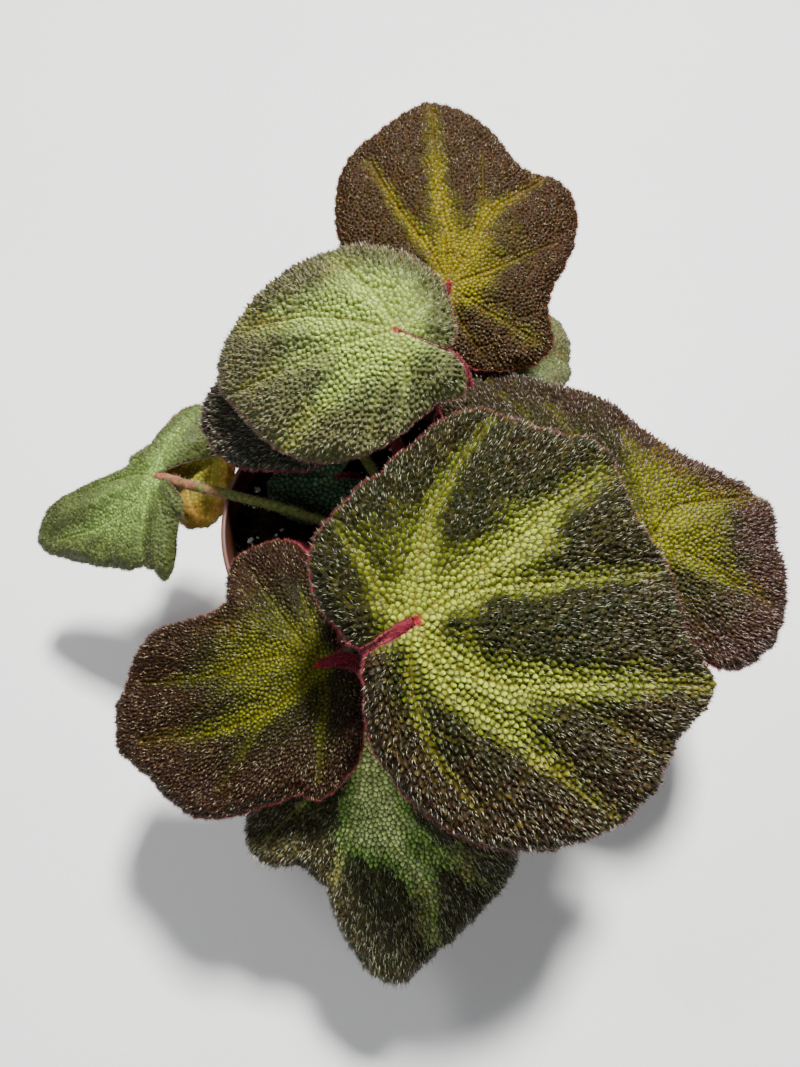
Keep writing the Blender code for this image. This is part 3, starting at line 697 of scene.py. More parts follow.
def thin_out(candidates, spacing):
    """Keep candidates in order, each at least spacing from those already kept."""
    grid = {}
    kept = []
    for x, y in candidates.tolist():
        column, row = int(x // spacing), int(y // spacing)
        near = (point for i in (column - 1, column, column + 1) for j in (row - 1, row, row + 1)
                for point in grid.get((i, j), ()))
        if all((x - a) ** 2 + (y - b) ** 2 >= spacing * spacing for a, b in near):
            grid.setdefault((column, row), []).append((x, y))
            kept.append((x, y))
    return np.array(kept)


def bump_centres(sheet, flat, spacing, rng):
    """Middles of the puckers: a row on each side of the veins, the rest at random."""
    candidates = []
    for line in sheet.veins:
        beads = smooth_course(line[::4], spacing * 0.95)
        run = unit(np.gradient(beads, axis=0))
        across = np.stack([-run[:, 1], run[:, 0]], axis=1)
        for side in (1, -1):
            candidates.append(beads + across * side * 0.55 * spacing)
    wide = np.concatenate(candidates)
    wide = wide + rng.normal(0, 0.19 * spacing, wide.shape)
    fill = rng.permutation(flat)
    wide = np.concatenate([wide, fill])
    _, _, share = sheet.polar(wide)
    inside = (share < 0.985) & (sheet.notch_gap(wide) > 0.35 * spacing)
    centres = thin_out(wide[inside], 0.80 * spacing)
    index, _, _ = nearest_two(centres, flat)
    count = np.maximum(np.bincount(index, minlength=len(centres)), 1)
    moved = np.stack([np.bincount(index, flat[:, k], len(centres)) / count for k in (0, 1)],
                     axis=1)
    return 0.5 * centres + 0.5 * moved


def glow_at(sheet, flat, seed):
    """How light the blade is at flat points, from its veins and patches."""
    wander = cobweb(flat, 7, seed + 0.5)
    dark = np.ones(len(flat))
    for vein, line in zip(sheet.leaf.veins, sheet.veins):
        gap, along = line_distance(flat, line)
        width = (vein.wide + (vein.narrow - vein.wide) * along) * (1 + 0.45 * wander)
        shine = vein.glow * (1 - fade(0.1, 2.5, gap / width)) * (1 - 0.45 * fade(0.5, 1.0, along))
        dark = dark * (1 - 0.92 * shine)
    for patch in sheet.leaf.patches:
        spot = flat_at(patch.bearing, patch.share * sheet.reach(patch.bearing))
        gap = np.linalg.norm(flat - spot, axis=1) / patch.radius * (1 + 0.3 * wander)
        dark = dark * (1 - 0.92 * patch.glow * (1 - fade(0.1, 1.7, gap)))
    return 1 - dark


def rust_at(sheet, flat):
    """How brown the blade is at flat points: more towards the margin."""
    bearing, _, share = sheet.polar(flat)
    return steps_at(sheet.leaf.rust, bearing) * fade(0.25, 0.95, share)


def cobweb(flat, scale, seed):
    """Smooth noise from -1 to 1 at flat points."""
    return np.array([noise.noise((x / scale, y / scale, seed)) for x, y in flat.tolist()])


def make_blade(name, leaf, number):
    """One leaf blade, with the hairs of its puckers and its margin."""
    rng = np.random.default_rng(100 + number)
    sheet = Sheet(name, leaf, number)
    ring = sheet.outline(leaf.step)
    clear = 0.5 * leaf.step
    beads = thin_out(sheet.vein_beads(leaf.step, 0.98, clear), 0.8 * leaf.step)
    grid = sheet.lattice(leaf.step, 0.55 * leaf.step)
    grid = grid[sheet.vein_gap(grid) > 0.7 * leaf.step]
    top = np.concatenate([ring, beads, grid])
    coarse = thin_out(np.concatenate([sheet.vein_beads(UNDER_STEP / 2, 0.93, clear),
                                      sheet.lattice(UNDER_STEP, UNDER_STEP / 2)]),
                      0.45 * UNDER_STEP)
    upper, values, centres = upper_side(sheet, top, grid, rng)
    lower, low_values = lower_side(sheet, coarse)

    shift = len(top) - len(ring)
    faces = fill_ring(top, len(ring))
    for face in fill_ring(np.concatenate([ring, coarse]), len(ring)):
        faces.append(tuple(k if k < len(ring) else k + shift for k in reversed(face)))
    piece = make_piece(name + "_blade", sheet.place(np.concatenate([upper, lower])), faces,
                       leaf.look)
    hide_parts(name)
    for label in values:
        low = low_values.get(label, np.zeros(len(lower)))
        add_attribute(piece, label, np.concatenate([values[label], low]))

    make_blade_hairs(name, sheet, centres, ring, upper, rng)
    return sheet


def upper_side(sheet, top, grid, rng):
    """The puckered side: its points, the numbers for its finish, and the puckers' middles."""
    leaf, number = sheet.leaf, sheet.seed
    centres = bump_centres(sheet, grid, leaf.bump, rng)
    index, first, second = nearest_two(centres, top)
    rank = first / np.maximum(0.5 * (first + second), 1e-6)
    _, _, share = sheet.polar(top)
    crest = 1 - rank ** (1.7 - 0.5 * share)
    lot = rng.random(len(centres))
    cell_glow = glow_at(sheet, centres + rng.normal(0, 0.5, centres.shape), number)
    cell_glow = cell_glow + 0.34 * (rng.random(len(centres)) - 0.5)
    glow = 0.6 * cell_glow[index] + 0.4 * glow_at(sheet, top, number)
    net_centres = thin_out(rng.permutation(grid)[:4000], 0.8 * NET_SPACING)
    _, near, far = nearest_two(net_centres, top)
    net = 1 - fade(0.15, 0.55, (far - near) / 2)
    gaps = [line_distance(top, line) for line in sheet.veins]
    vein_gap = np.min([gap for gap, _ in gaps], axis=0)
    rib = np.max([(1 - fade(0.1, 0.7, gap)) * (1 - 0.6 * along) for gap, along in gaps], axis=0)
    edge = sheet.edge_gap(top)

    large = sheet.swelling(vein_gap) + (sheet.waves(top) + PILLOW_HEIGHT * (1 - net))
    base = sheet.smooth_form(top, edge, large)
    base -= RIM_DROP * (1 - fade(0, 0.6, edge)) + sheet.hem_drop(top, edge)
    relief = BUMP_HEIGHT * LOOKS[leaf.look].relief * leaf.bump * (0.55 + 0.8 * lot[index])
    relief = relief * (1 - 0.12 * np.clip(glow, 0, 1))
    calm = (0.72 + 0.28 * fade(0.4, 2.5, vein_gap)) * (1 - 0.25 * net) * fade(0, 1.8, edge)
    bump = relief * calm * crest
    lean = bump * (0.35 + 0.5 * share)
    spots = top + unit(top) * lean[:, None]
    rust = 0.5 * rust_at(sheet, centres)[index] + 0.5 * rust_at(sheet, top)
    values = {"glow": glow, "rust": rust, "crest": crest, "lot": lot[index], "rib": rib,
              "net": net, "edge": edge, "share": share, "under": np.zeros(len(top))}
    return np.column_stack([spots, base + bump]), values, centres


def lower_side(sheet, coarse):
    """The plain side, with keels under the veins: its points and numbers for its finish."""
    _, _, share = sheet.polar(coarse)
    gap = sheet.vein_gap(coarse)
    edge = sheet.edge_gap(coarse)
    base = sheet.smooth_form(coarse, edge, sheet.swelling(gap) + sheet.waves(coarse))
    base -= sheet.hem_drop(coarse, edge)
    depth = BLADE_THICKNESS * fade(-1, 1.5, edge) + VEIN_KEEL * (1 - fade(0.2, 1.0, gap))
    values = {"rib": 1 - fade(0.3, 1.5, gap), "edge": edge, "share": share,
              "under": np.ones(len(coarse))}
    return np.column_stack([coarse, base - depth]), values


def fill_ring(flat, ring_count):
    """Triangles that fill the outline made by the first points, through all points."""
    points = [Vector(point) for point in flat.tolist()]
    edges = [(k, (k + 1) % ring_count) for k in range(ring_count)]
    result = delaunay_2d_cdt(points, edges, [], 0, 1e-7, True)
    first = [ids[0] for ids in result[3]]
    faces = [tuple(first[k] for k in face) for face in result[2]]
    return [face for face in faces if max(face) >= ring_count or turns_left(flat, sorted(face))]


def turns_left(flat, face):
    """Whether three flat points turn anticlockwise."""
    a, b, c = (flat[k] for k in face)
    return (b[0] - a[0]) * (c[1] - a[1]) > (c[0] - a[0]) * (b[1] - a[1])


def make_blade_hairs(name, sheet, centres, ring, upper, rng):
    """Hairs on the puckers, and a fringe of hairs along the margin."""
    leaf = sheet.leaf
    tree = flat_tree(upper)
    middles = np.repeat(centres, CROWD, axis=0)
    _, _, share = sheet.polar(middles)
    middles = middles[rng.random(len(middles)) * CROWD < 1.1 + (CROWD - 1.1) * share]
    middles = middles + rng.normal(0, 0.30 * leaf.bump, middles.shape)
    outward = unit(middles)
    _, _, share = sheet.polar(middles)
    spots = []
    for x, y in (middles + outward * 0.2 * share[:, None]).tolist():
        _, index, _ = tree.find((x, y, 0.0))
        spots.append(upper[index])
    spots = np.array(spots)
    lie = np.column_stack([outward * (0.4 + 2.2 * share[:, None]), np.ones(len(middles))])
    lie = unit(unit(lie) + rng.normal(0, 0.22, lie.shape))
    length = (0.75 + 0.85 * share) * (0.5 + 0.9 * rng.random(len(middles)))
    length = length * HAIR_SCALE[leaf.look]
    down = make_hairs(name + "_down", sheet.place(spots), lie @ sheet.axes, length, DOWN_WIDTH,
                      DOWN_OF.get(leaf.look, "clear_down"))
    add_attribute(down, "lot", np.repeat(rng.random(len(middles)), 4))

    margin = (sheet, ring, upper, rng)
    make_fringe(name + "_fringe", *margin, "fringe_" + leaf.look, FRINGE_DENSITY, FRINGE_LENGTH)
    if leaf.blush:
        make_fringe(name + "_blush", *margin, "stalk_hair", BLUSH_DENSITY, BLUSH_LENGTH,
                    leaf.blush)


def make_fringe(name, sheet, ring, upper, rng, skin, density, size, spans=None):
    """Hairs that stand out from the margin, all round it or on some stretches."""
    count = int(len(ring) * sheet.leaf.step * density)
    place = rng.random(count) * (len(ring) - 1)
    if spans:
        bearing = sheet.polar(ring[place.astype(int)])[0]
        place = place[np.any([(bearing > low) & (bearing < high) for low, high in spans], axis=0)]
        count = len(place)
    index = place.astype(int)
    part = (place - index)[:, None]
    roots = upper[index] * (1 - part) + upper[index + 1] * part
    run = unit(ring[(index + 1) % len(ring)] - ring[index])
    away = np.stack([run[:, 1], -run[:, 0]], axis=1)
    lie = np.column_stack([away, rng.normal(0.1, 0.35, count)])
    lie = unit(lie + rng.normal(0, 0.30, lie.shape))
    length = size * (0.45 + 0.9 * rng.random(count))
    roots = roots - np.column_stack([away * 0.1, np.zeros(count)])
    make_hairs(name, sheet.place(roots), lie @ sheet.axes, length, HAIR_WIDTH, skin)


def make_hairs(name, roots, lie, length, width, skin):
    """Many short hairs in one mesh, each a slim pyramid closed at its root."""
    count = len(roots)
    lie = unit(lie)
    helper = np.where(np.abs(lie[:, 2:3]) < 0.9, [[0, 0, 1.0]], [[1.0, 0, 0]])
    first = unit(np.cross(lie, helper))
    second = np.cross(lie, first)
    rows = []
    for turn in (0, 2 * math.pi / 3, 4 * math.pi / 3):
        rows.append(roots + width * (math.cos(turn) * first + math.sin(turn) * second))
    rows.append(roots + lie * length[:, None])
    vertices = np.stack(rows, axis=1).reshape(-1, 3)
    corner = np.arange(count) * 4
    faces = np.concatenate([
        np.stack([corner, corner + 1, corner + 3], axis=1),
        np.stack([corner + 1, corner + 2, corner + 3], axis=1),
        np.stack([corner + 2, corner, corner + 3], axis=1),
        np.stack([corner, corner + 2, corner + 1], axis=1)])
    return make_piece(name, vertices, faces.tolist(), skin)


# ---------------------------------------------------------------- materials

# Noise lies mostly in this range.
NOISE_RANGE = (0.3, 0.7)

# How much of the light the surfaces throw back at a glance.
BLADE_SHINE = 0.13
STALK_SHINE = 0.2
PLAIN_SHINE = 0.5


def put(tree, kind, inputs=None, **settings):
    """Add a node, set its properties, and fill or link its inputs."""
    node = tree.nodes.new(kind)
    for key, value in settings.items():
        setattr(node, key, value)
    for key, value in (inputs or {}).items():
        socket = node.inputs[key]
        if isinstance(value, bpy.types.NodeSocket):
            tree.links.new(value, socket)
        else:
            socket.default_value = value
    return node


def blend(tree, factor, low, high, mode="MIX"):
    """Mix two colours."""
    node = put(tree, "ShaderNodeMix", {0: factor, 6: low, 7: high}, data_type="RGBA",
               blend_type=mode)
    return node.outputs[2]


def tint(tree, colour, tone):
    """A colour multiplied by another."""
    return blend(tree, 1.0, colour, tone, "MULTIPLY")


def grey(tree, value):
    """A number as a grey tone."""
    return put(tree, "ShaderNodeCombineColor", {0: value, 1: value, 2: value}).outputs[0]


def calc(tree, operation, *values):
    """One step of arithmetic."""
    return put(tree, "ShaderNodeMath", dict(enumerate(values)), operation=operation).outputs[0]


def ramp(tree, value, low, high, start=0.0, end=1.0):
    """Carry a value from the range low to high over to the range start to end."""
    inputs = {"Value": value, "From Min": low, "From Max": high, "To Min": start, "To Max": end}
    return put(tree, "ShaderNodeMapRange", inputs, interpolation_type="SMOOTHSTEP").outputs[0]


def spread(tree, cloud, start, end):
    """Carry noise over to the range start to end."""
    return ramp(tree, cloud, *NOISE_RANGE, start, end)


def read(tree, name):
    """A number stored on the mesh."""
    return put(tree, "ShaderNodeAttribute", attribute_name=name).outputs["Fac"]


def grain(tree, scale, detail):
    """Noise on the piece's own coordinates, with features of about one over scale."""
    place = put(tree, "ShaderNodeTexCoord").outputs["Object"]
    return put(tree, "ShaderNodeTexNoise", {"Vector": place, "Scale": scale,
                                            "Detail": float(detail)}).outputs["Fac"]


def new_group(name, inputs):
    """A shader node group with named inputs, for a colour, a roughness and a height."""
    group = bpy.data.node_groups.new(name, "ShaderNodeTree")
    for label, start in inputs.items():
        kind = "NodeSocketColor" if isinstance(start, tuple) else "NodeSocketFloat"
        socket = group.interface.new_socket(label, in_out="INPUT", socket_type=kind)
        socket.default_value = start
    group.interface.new_socket("Color", in_out="OUTPUT", socket_type="NodeSocketColor")
    for label in ("Roughness", "Height"):
        group.interface.new_socket(label, in_out="OUTPUT", socket_type="NodeSocketFloat")
    return group, put(group, "NodeGroupInput").outputs


def end_group(group, colour, roughness, height):
    """Link a group's results to its outputs."""
    put(group, "NodeGroupOutput", {"Color": colour, "Roughness": roughness, "Height": height})
    return group


def leaf_skin():
    """The colour, gloss and fine relief of a puckered blade."""
    group, given = new_group("leaf_skin", {
        "Lime": (0.5, 0.5, 0.1, 1), "Leaf": (0.1, 0.15, 0.02, 1),
        "Green": (0.05, 0.08, 0.02, 1), "Rust": (0.1, 0.05, 0.03, 1),
        "Crease": (0.05, 0.02, 0.01, 1), "Fringe": (0.4, 0.1, 0.1, 1)})
    cloud = grain(group, 120, 4)
    speck = grain(group, 1500, 2)
    crest = read(group, "crest")
    share = read(group, "share")
    rust = read(group, "rust")
    brown = calc(group, "ADD", rust, spread(group, cloud, -0.22, 0.22))
    base = blend(group, ramp(group, brown, 0.1, 0.9), given["Green"], given["Rust"])
    light = calc(group, "ADD", read(group, "glow"), spread(group, cloud, -0.12, 0.12))
    amber = blend(group, 0.55, given["Lime"], given["Rust"])
    amber = tint(group, amber, (1.35, 1.0, 0.7, 1))
    dim_amber = tint(group, amber, (0.55, 0.48, 0.48, 1))
    worn = ramp(group, brown, 0.35, 1.0)
    leaf = blend(group, worn, given["Leaf"], dim_amber)
    lime = blend(group, worn, given["Lime"], amber)
    base = blend(group, ramp(group, light, 0.05, 0.45), base, leaf)
    base = blend(group, ramp(group, light, 0.40, 1.0), base, lime)
    dull = blend(group, 0.65, given["Lime"], given["Crease"])
    dull = tint(group, dull, (1.0, 0.72, 0.6, 1))
    base = blend(group, calc(group, "MULTIPLY", read(group, "net"), 0.22), base, dull)
    shade = ramp(group, read(group, "lot"), 0.0, 1.0, 0.72, 1.25)
    shade = calc(group, "MULTIPLY", shade, spread(group, speck, 0.82, 1.18))
    base = tint(group, base, grey(group, shade))
    # The hollows between the puckers take the crease colour: partly the blade's own dark creases,
    # partly painted shade.
    depth = blend(group, calc(group, "MULTIPLY", ramp(group, light, 0.2, 0.9), 0.16),
                  given["Crease"], dull)
    crease_tone_and_shade = calc(group, "MULTIPLY", ramp(group, crest, 0.62, 0.10), 0.92)
    base = blend(group, crease_tone_and_shade, base, depth)
    base = blend(group, calc(group, "MULTIPLY", read(group, "rib"), 0.5), base, dull)
    base = blend(group, ramp(group, share, 0.035, 0.015), base, (0.20, 0.01, 0.015, 1))
    rim = calc(group, "MULTIPLY", ramp(group, read(group, "edge"), 0.6, 0.0), 0.75)
    base = blend(group, rim, base, given["Fringe"])
    belly = blend(group, ramp(group, read(group, "rib"), 0.2, 0.9), (0.11, 0.06, 0.03, 1),
                  (0.22, 0.025, 0.025, 1))
    base = blend(group, read(group, "under"), base, belly)
    gloss = calc(group, "ADD", spread(group, speck, 0.20, 0.34),
                 ramp(group, crest, 0.0, 0.7, 0.4, 0.0))
    fine = calc(group, "ADD", speck, calc(group, "MULTIPLY", grain(group, 700, 2), 1.2))
    return end_group(group, base, gloss, fine)


def mottle():
    """Two tones in clouds, with an uneven gloss and a fine relief."""
    group, given = new_group("mottle", {
        "Low": (0.1, 0.1, 0.1, 1), "High": (0.3, 0.3, 0.3, 1), "Scale": 100.0, "Smooth": 0.4,
        "Rough": 0.6})
    tone = spread(group, grain(group, given["Scale"], 4), 0.0, 1.0)
    gloss = grain(group, calc(group, "MULTIPLY", given["Scale"], 1.7), 3)
    gloss = spread(group, gloss, given["Smooth"], given["Rough"])
    fine = grain(group, calc(group, "MULTIPLY", given["Scale"], 4.0), 4)
    return end_group(group, blend(group, tone, given["Low"], given["High"]), gloss, fine)


def shader_of(name):
    """A new material, with its tree and its main shader."""
    material = bpy.data.materials.new(name)
    material.use_nodes = True
    return material, material.node_tree, material.node_tree.nodes["Principled BSDF"]


def add_relief(tree, shader, height, distance, strength=0.6):
    """Fine relief from a height that varies over the surface, in millimetres."""
    bump = put(tree, "ShaderNodeBump", {"Height": height, "Strength": strength,
                                        "Distance": distance * MM})
    tree.links.new(bump.outputs["Normal"], shader.inputs["Normal"])


def surface(tree, shader, colour, roughness, shine):
    """Give a shader its colour, its roughness and its shine."""
    tree.links.new(colour, shader.inputs["Base Color"])
    tree.links.new(roughness, shader.inputs["Roughness"])
    shader.inputs["Specular IOR Level"].default_value = shine


def group_material(name, group, inputs, shine, relief, strength=0.6):
    """A finish from a node group, with or without its relief."""
    material, tree, shader = shader_of(name)
    node = put(tree, "ShaderNodeGroup", inputs, node_tree=group)
    surface(tree, shader, node.outputs["Color"], node.outputs["Roughness"], shine)
    if relief:
        add_relief(tree, shader, node.outputs["Height"], relief, strength)
    return material


def blade_material(name, look, skin):
    """A blade's finish in one of the looks."""
    labels = ("Lime", "Leaf", "Green", "Rust", "Crease", "Fringe")
    inputs = {label: (*colour, 1) for label, colour in zip(labels, look)}
    return group_material(name, skin, inputs, BLADE_SHINE, 0.28, 0.7)


def mottled_material(name, pattern, low, high, scale, smooth, rough, relief, shine=PLAIN_SHINE):
    """A finish of two tones with an uneven gloss."""
    inputs = {"Low": (*low, 1), "High": (*high, 1), "Scale": scale, "Smooth": smooth,
              "Rough": rough}
    return group_material(name, pattern, inputs, shine, relief)


# Finishes of two tones: low and high colour, scale of the clouds, smoothest and
# roughest gloss, depth of the fine relief in millimetres, and shine where it's duller
# than plain.
MOTTLED = {
    "stalk_hair": ((0.15, 0.008, 0.018), (0.42, 0.06, 0.09), 900, 0.5, 0.7, 0),
    "pale_hair": ((0.16, 0.13, 0.07), (0.32, 0.27, 0.18), 300, 0.4, 0.5, 0),
    "bud_skin": ((0.10, 0.004, 0.008), (0.26, 0.012, 0.026), 260, 0.4, 0.6, 0.3),
    "pot_plastic": ((0.062, 0.018, 0.010), (0.080, 0.025, 0.014), 90, 0.5, 0.65, 0.02),
    "soil_mix": ((0.003, 0.002, 0.0015), (0.014, 0.009, 0.006), 500, 0.75, 0.95, 0.5, 0.08),
    "crumbs": ((0.005, 0.003, 0.002), (0.026, 0.015, 0.009), 250, 0.7, 0.9, 0.3, 0.1),
    "root_bark": ((0.05, 0.012, 0.007), (0.13, 0.045, 0.022), 300, 0.6, 0.8, 0.3, 0.3),
    "perlite_grain": ((0.30, 0.29, 0.26), (0.50, 0.49, 0.46), 900, 0.7, 0.9, 0.2),
    "bench": ((0.76, 0.77, 0.78), (0.80, 0.81, 0.81), 3, 0.4, 0.5, 0),
}

# The down of the puckers: dull hairs, bright hairs (partly their own pale colour, partly
# painted glint), and where the bright ones begin.
DOWNS = {
    "clear_down": ((0.028, 0.026, 0.009), (0.68, 0.70, 0.50), 0.42),
    "warm_down": ((0.028, 0.014, 0.003), (0.62, 0.54, 0.30), 0.74),
    "rosy_down": ((0.045, 0.022, 0.016), (0.62, 0.52, 0.47), 0.50),
}

# Skins of the stalks: the colours at the foot and at the blade, and the shares of the
# length between which one turns into the other.
STALK_SKINS = {
    "stalk_skin": ((0.070, 0.008, 0.008), (0.105, 0.005, 0.013), 0.3, 0.8),
    "old_stalk": ((0.085, 0.105, 0.022), (0.20, 0.075, 0.045), 0.6, 1.0),
}


def down_material(name, dull, pale_and_glint, first):
    """Clear hairs, some dull and some bright; the bright colour is partly pale hair, partly painted
    glint.
    """
    material, tree, shader = shader_of(name)
    lot = calc(tree, "ADD", read(tree, "lot"), spread(tree, grain(tree, 500, 2), -0.2, 0.2))
    shine = ramp(tree, lot, first, 1.10)
    base = blend(tree, shine, (*dull, 1), (*pale_and_glint, 1))
    surface(tree, shader, base, ramp(tree, shine, 0.0, 1.0, 0.4, 0.22), PLAIN_SHINE)
    return material


def stalk_material(name, foot, end, first, last):
    """A stalk's finish, which turns from one colour to the other along it."""
    material, tree, shader = shader_of(name)
    cloud = grain(tree, 260, 4)
    along = calc(tree, "ADD", read(tree, "along"), spread(tree, cloud, -0.15, 0.15))
    base = blend(tree, ramp(tree, along, first, last), (*foot, 1), (*end, 1))
    shade = spread(tree, grain(tree, 700, 3), 0.6, 1.3)
    surface(tree, shader, tint(tree, base, grey(tree, shade)), spread(tree, cloud, 0.7, 0.9),
            STALK_SHINE)
    add_relief(tree, shader, grain(tree, 1000, 3), 0.3)
    return material


def make_materials():
    """Every finish by its name."""
    skin = leaf_skin()
    pattern = mottle()
    made = {name: blade_material(name, look, skin) for name, look in LOOKS.items()}
    for name, look in LOOKS.items():
        dark = tuple(0.55 * part for part in look.fringe)
        made["fringe_" + name] = mottled_material("fringe_" + name, pattern, dark, look.fringe,
                                                  200, 0.4, 0.5, 0)
    for name, values in MOTTLED.items():
        made[name] = mottled_material(name, pattern, *values)
    for name, colours in STALK_SKINS.items():
        made[name] = stalk_material(name, *colours)
    for name, colours in DOWNS.items():
        made[name] = down_material(name, *colours)
    return made


# ---------------------------------------------------------------- stalks and bud

def root_points():
    """The rootstock's centre line."""
    length = marks_along(np.array(ROOT_COURSE))[-1]
    return smooth_course(ROOT_COURSE, length / ROOT_STEPS)


def root_spot(along, lean):
    """A point just off the rootstock's skin, and the way out of the skin there."""
    line = root_points()
    reach = along * (len(line) - 1)
    index = min(int(reach), len(line) - 2)
    centre = line[index] + (reach - index) * (line[index + 1] - line[index])
    axis = Vector(line[index + 1] - line[index]).normalized()
    side = axis.cross(Vector((0, 0, 1))).normalized()
    angle = math.radians(lean)
    outward = np.array(side.cross(axis) * math.cos(angle) + side * math.sin(angle))
    return centre + outward * (ROOT_RADIUS + STALK_SEAT), outward


def stalk_course(sheet):
    """A stalk's centre line, from the rootstock to its end under the blade's joint."""
    leaf = sheet.leaf
    start, outward = root_spot(leaf.along, leaf.lean)
    tip, side, face = sheet.axes
    notch = math.radians(sheet.middle + 180)
    back = math.cos(notch) * tip + math.sin(notch) * side
    end = sheet.joint - face * STALK_DEPTH
    course = [start, start + outward * STALK_LEAD, *leaf.via]
    if leaf.arrive is not None:
        angle = math.radians(leaf.arrive)
        arrival = face * math.sin(angle) - back * math.cos(angle)
        course += [end - arrival * 2 * STALK_LEAD, end - arrival * STALK_LEAD]
    return smooth_course(course + [end], COURSE_STEP)


def tube_rings(line, radii, sides, rough, seed):
    """Rings of points around a line, with a slightly uneven radius."""
    run = unit(np.gradient(line, axis=0))
    first = unit(np.cross(run[0], [0.3, 0.5, 0.8]))
    rings = []
    normals = []
    for index, spot in enumerate(line):
        first = unit(first - run[index] * (first @ run[index]))
        second = np.cross(run[index], first)
        turn = np.arange(sides) / sides * 2 * math.pi
        way = np.cos(turn)[:, None] * first + np.sin(turn)[:, None] * second
        uneven = np.array([noise.noise(Vector(spot * 0.35) + Vector(w) * 0.8 + Vector((seed, 0, 0)))
                           for w in way])
        rings.append(spot + way * (radii[index] * (1 + rough * uneven))[:, None])
        normals.append(way)
    return np.array(rings), np.array(normals)


def tube_faces(count, sides):
    """Faces of a tube of rings, with a fan at each end."""
    faces = []
    for ring in range(count - 1):
        for side in range(sides):
            after = (side + 1) % sides
            faces.append((ring * sides + side, ring * sides + after,
                          (ring + 1) * sides + after, (ring + 1) * sides + side))
    start, end = count * sides, count * sides + 1
    for side in range(sides):
        after = (side + 1) % sides
        faces.append((start, after, side))
        faces.append((end, (count - 1) * sides + side, (count - 1) * sides + after))
    return faces


def make_tube(name, line, radii, sides, rough, skin, seed):
    """A closed, slightly uneven tube."""
    rings, normals = tube_rings(line, radii, sides, rough, seed)
    vertices = np.concatenate([rings.reshape(-1, 3), line[:1], line[-1:]])
    piece = make_piece(name, vertices, tube_faces(len(line), sides), skin)
    return piece, rings, normals


def make_bristles(name, rings, lies, count, ruffle, least, more, width, rng):
    """Hairs all over a tube, ruffled, and from the least length to that much more."""
    ring = rng.integers(1, len(rings) - 1, count)
    side = rng.integers(0, rings.shape[1], count)
    lie = unit(lies[ring, side] + rng.normal(0, ruffle, (count, 3)))
    make_hairs(name, rings[ring, side], lie, least + more * rng.random(count), width,
               "stalk_hair")


def make_stalk(node, line, number, skin, hair, plenty, size):
    """A leaf stalk with its coat of hairs."""
    rng = np.random.default_rng(300 + number)
    along = np.linspace(0, 1, len(line))
    length = marks_along(line)[-1]
    left = (1 - along) * length
    radii = size * STALK_RADIUS * (1.05 + 0.20 * (1 - fade(3, 16, left)))
    radii = radii * (0.50 + 0.50 * fade(0, 4, left))
    piece, rings, normals = make_tube(node + "_stem", line, radii, STALK_SIDES, 0.18, skin,
                                      number * 3.7)
    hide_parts(node)
    add_attribute(piece, "along", np.append(np.repeat(along, STALK_SIDES), [0, 1]))
    count = int(length * plenty)
    ring = rng.integers(0, len(line) - 1, count)
    side = rng.integers(0, STALK_SIDES, count)
    part = rng.random((count, 1))
    here, there = (ring, side), (ring + 1, (side + 1) % STALK_SIDES)
    roots = rings[here] * (1 - part) + rings[there] * part
    lie = normals[here] * (1 - part) + normals[there] * part
    run = unit(line[ring + 1] - line[ring])
    lie = unit(lie + run * rng.normal(0.2, 0.5, (count, 1)) + rng.normal(0, 0.45, (count, 3)))
    reach = 1.1 * (0.5 + 0.9 * rng.random(count))
    make_hairs(node + "_coat", roots - lie * 0.2, lie, reach, HAIR_WIDTH, hair)


def make_bud():
    """The young leaf, still rolled, on its short stalk."""
    along, lean, via = BUD_STALK
    start, outward = root_spot(along, lean)
    aim = unit(np.array(BUD_AIM))
    foot = np.array(BUD_PLACE) - aim * (BUD_LENGTH / 2 + TOUCH_GAP)
    course = [start, start + outward * STALK_LEAD, *via, foot - aim * STALK_LEAD, foot]
    make_stalk("stalk_bud", smooth_course(course, COURSE_STEP), 20, *RED_STALK)
    rng = np.random.default_rng(77)
    share = (1 - np.cos(np.linspace(0.02, math.pi - 0.02, BUD_RINGS))) / 2
    line = np.array(BUD_PLACE) + np.outer((share - 0.5) * BUD_LENGTH, aim)
    radii = BUD_RADIUS * np.sqrt(np.clip(4 * share * (1 - share), 0, 1)) * (1.12 - 0.35 * share)
    piece, rings, normals = make_tube("bud_roll", line, radii, BUD_SIDES, 0.35, "bud_skin",
                                      5.0)
    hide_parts("bud")
    make_bristles("bud_coat", rings, normals + aim * 0.6, BUD_BRISTLES, 0.25, 0.65, 1.3, 0.07,
                  rng)


# ---------------------------------------------------------------- pot and soil

# Round holes in the pot's floor, and blocks that cut the notches through its foot.
DRAINS = 6
DRAIN_RADIUS = 4.0
DRAIN_CIRCLE = 22
NOTCH_CIRCLE = 35
NOTCH_BLOCK = (12 * MM, 9 * MM, 4 * MM)
POT_SIDES = 112

# The soil's height, the rings in its top, its lumps (size, height), the loose crumbs and
# the fine perlite on it, and how far they reach.
SOIL_TOP = 78.0
SOIL_SIDES = 120
SOIL_RINGS = 30
SOIL_RING_WIDTH = 1.6
SOIL_LUMPS = ((9, 2.6), (2.6, 1.7))
CRUMBS = 1900
CRUMBS_REACH = 49.0
PERLITE_DUST = 70


def deselect():
    """Leave nothing selected and nothing in edit mode."""
    if bpy.context.object and bpy.context.object.mode != "OBJECT":
        bpy.ops.object.mode_set(mode="OBJECT")
    bpy.ops.object.select_all(action="DESELECT")


def pick(*pieces):
    """Leave only these pieces selected, with the first of them active."""
    deselect()
    for piece in pieces:
        piece.select_set(True)
    bpy.context.view_layer.objects.active = pieces[0]


def edit_all():
    """Open the active piece in edit mode with all of it selected."""
    bpy.ops.object.mode_set(mode="EDIT")
    bpy.ops.mesh.select_mode(type="VERT")
    bpy.ops.mesh.select_all(action="SELECT")


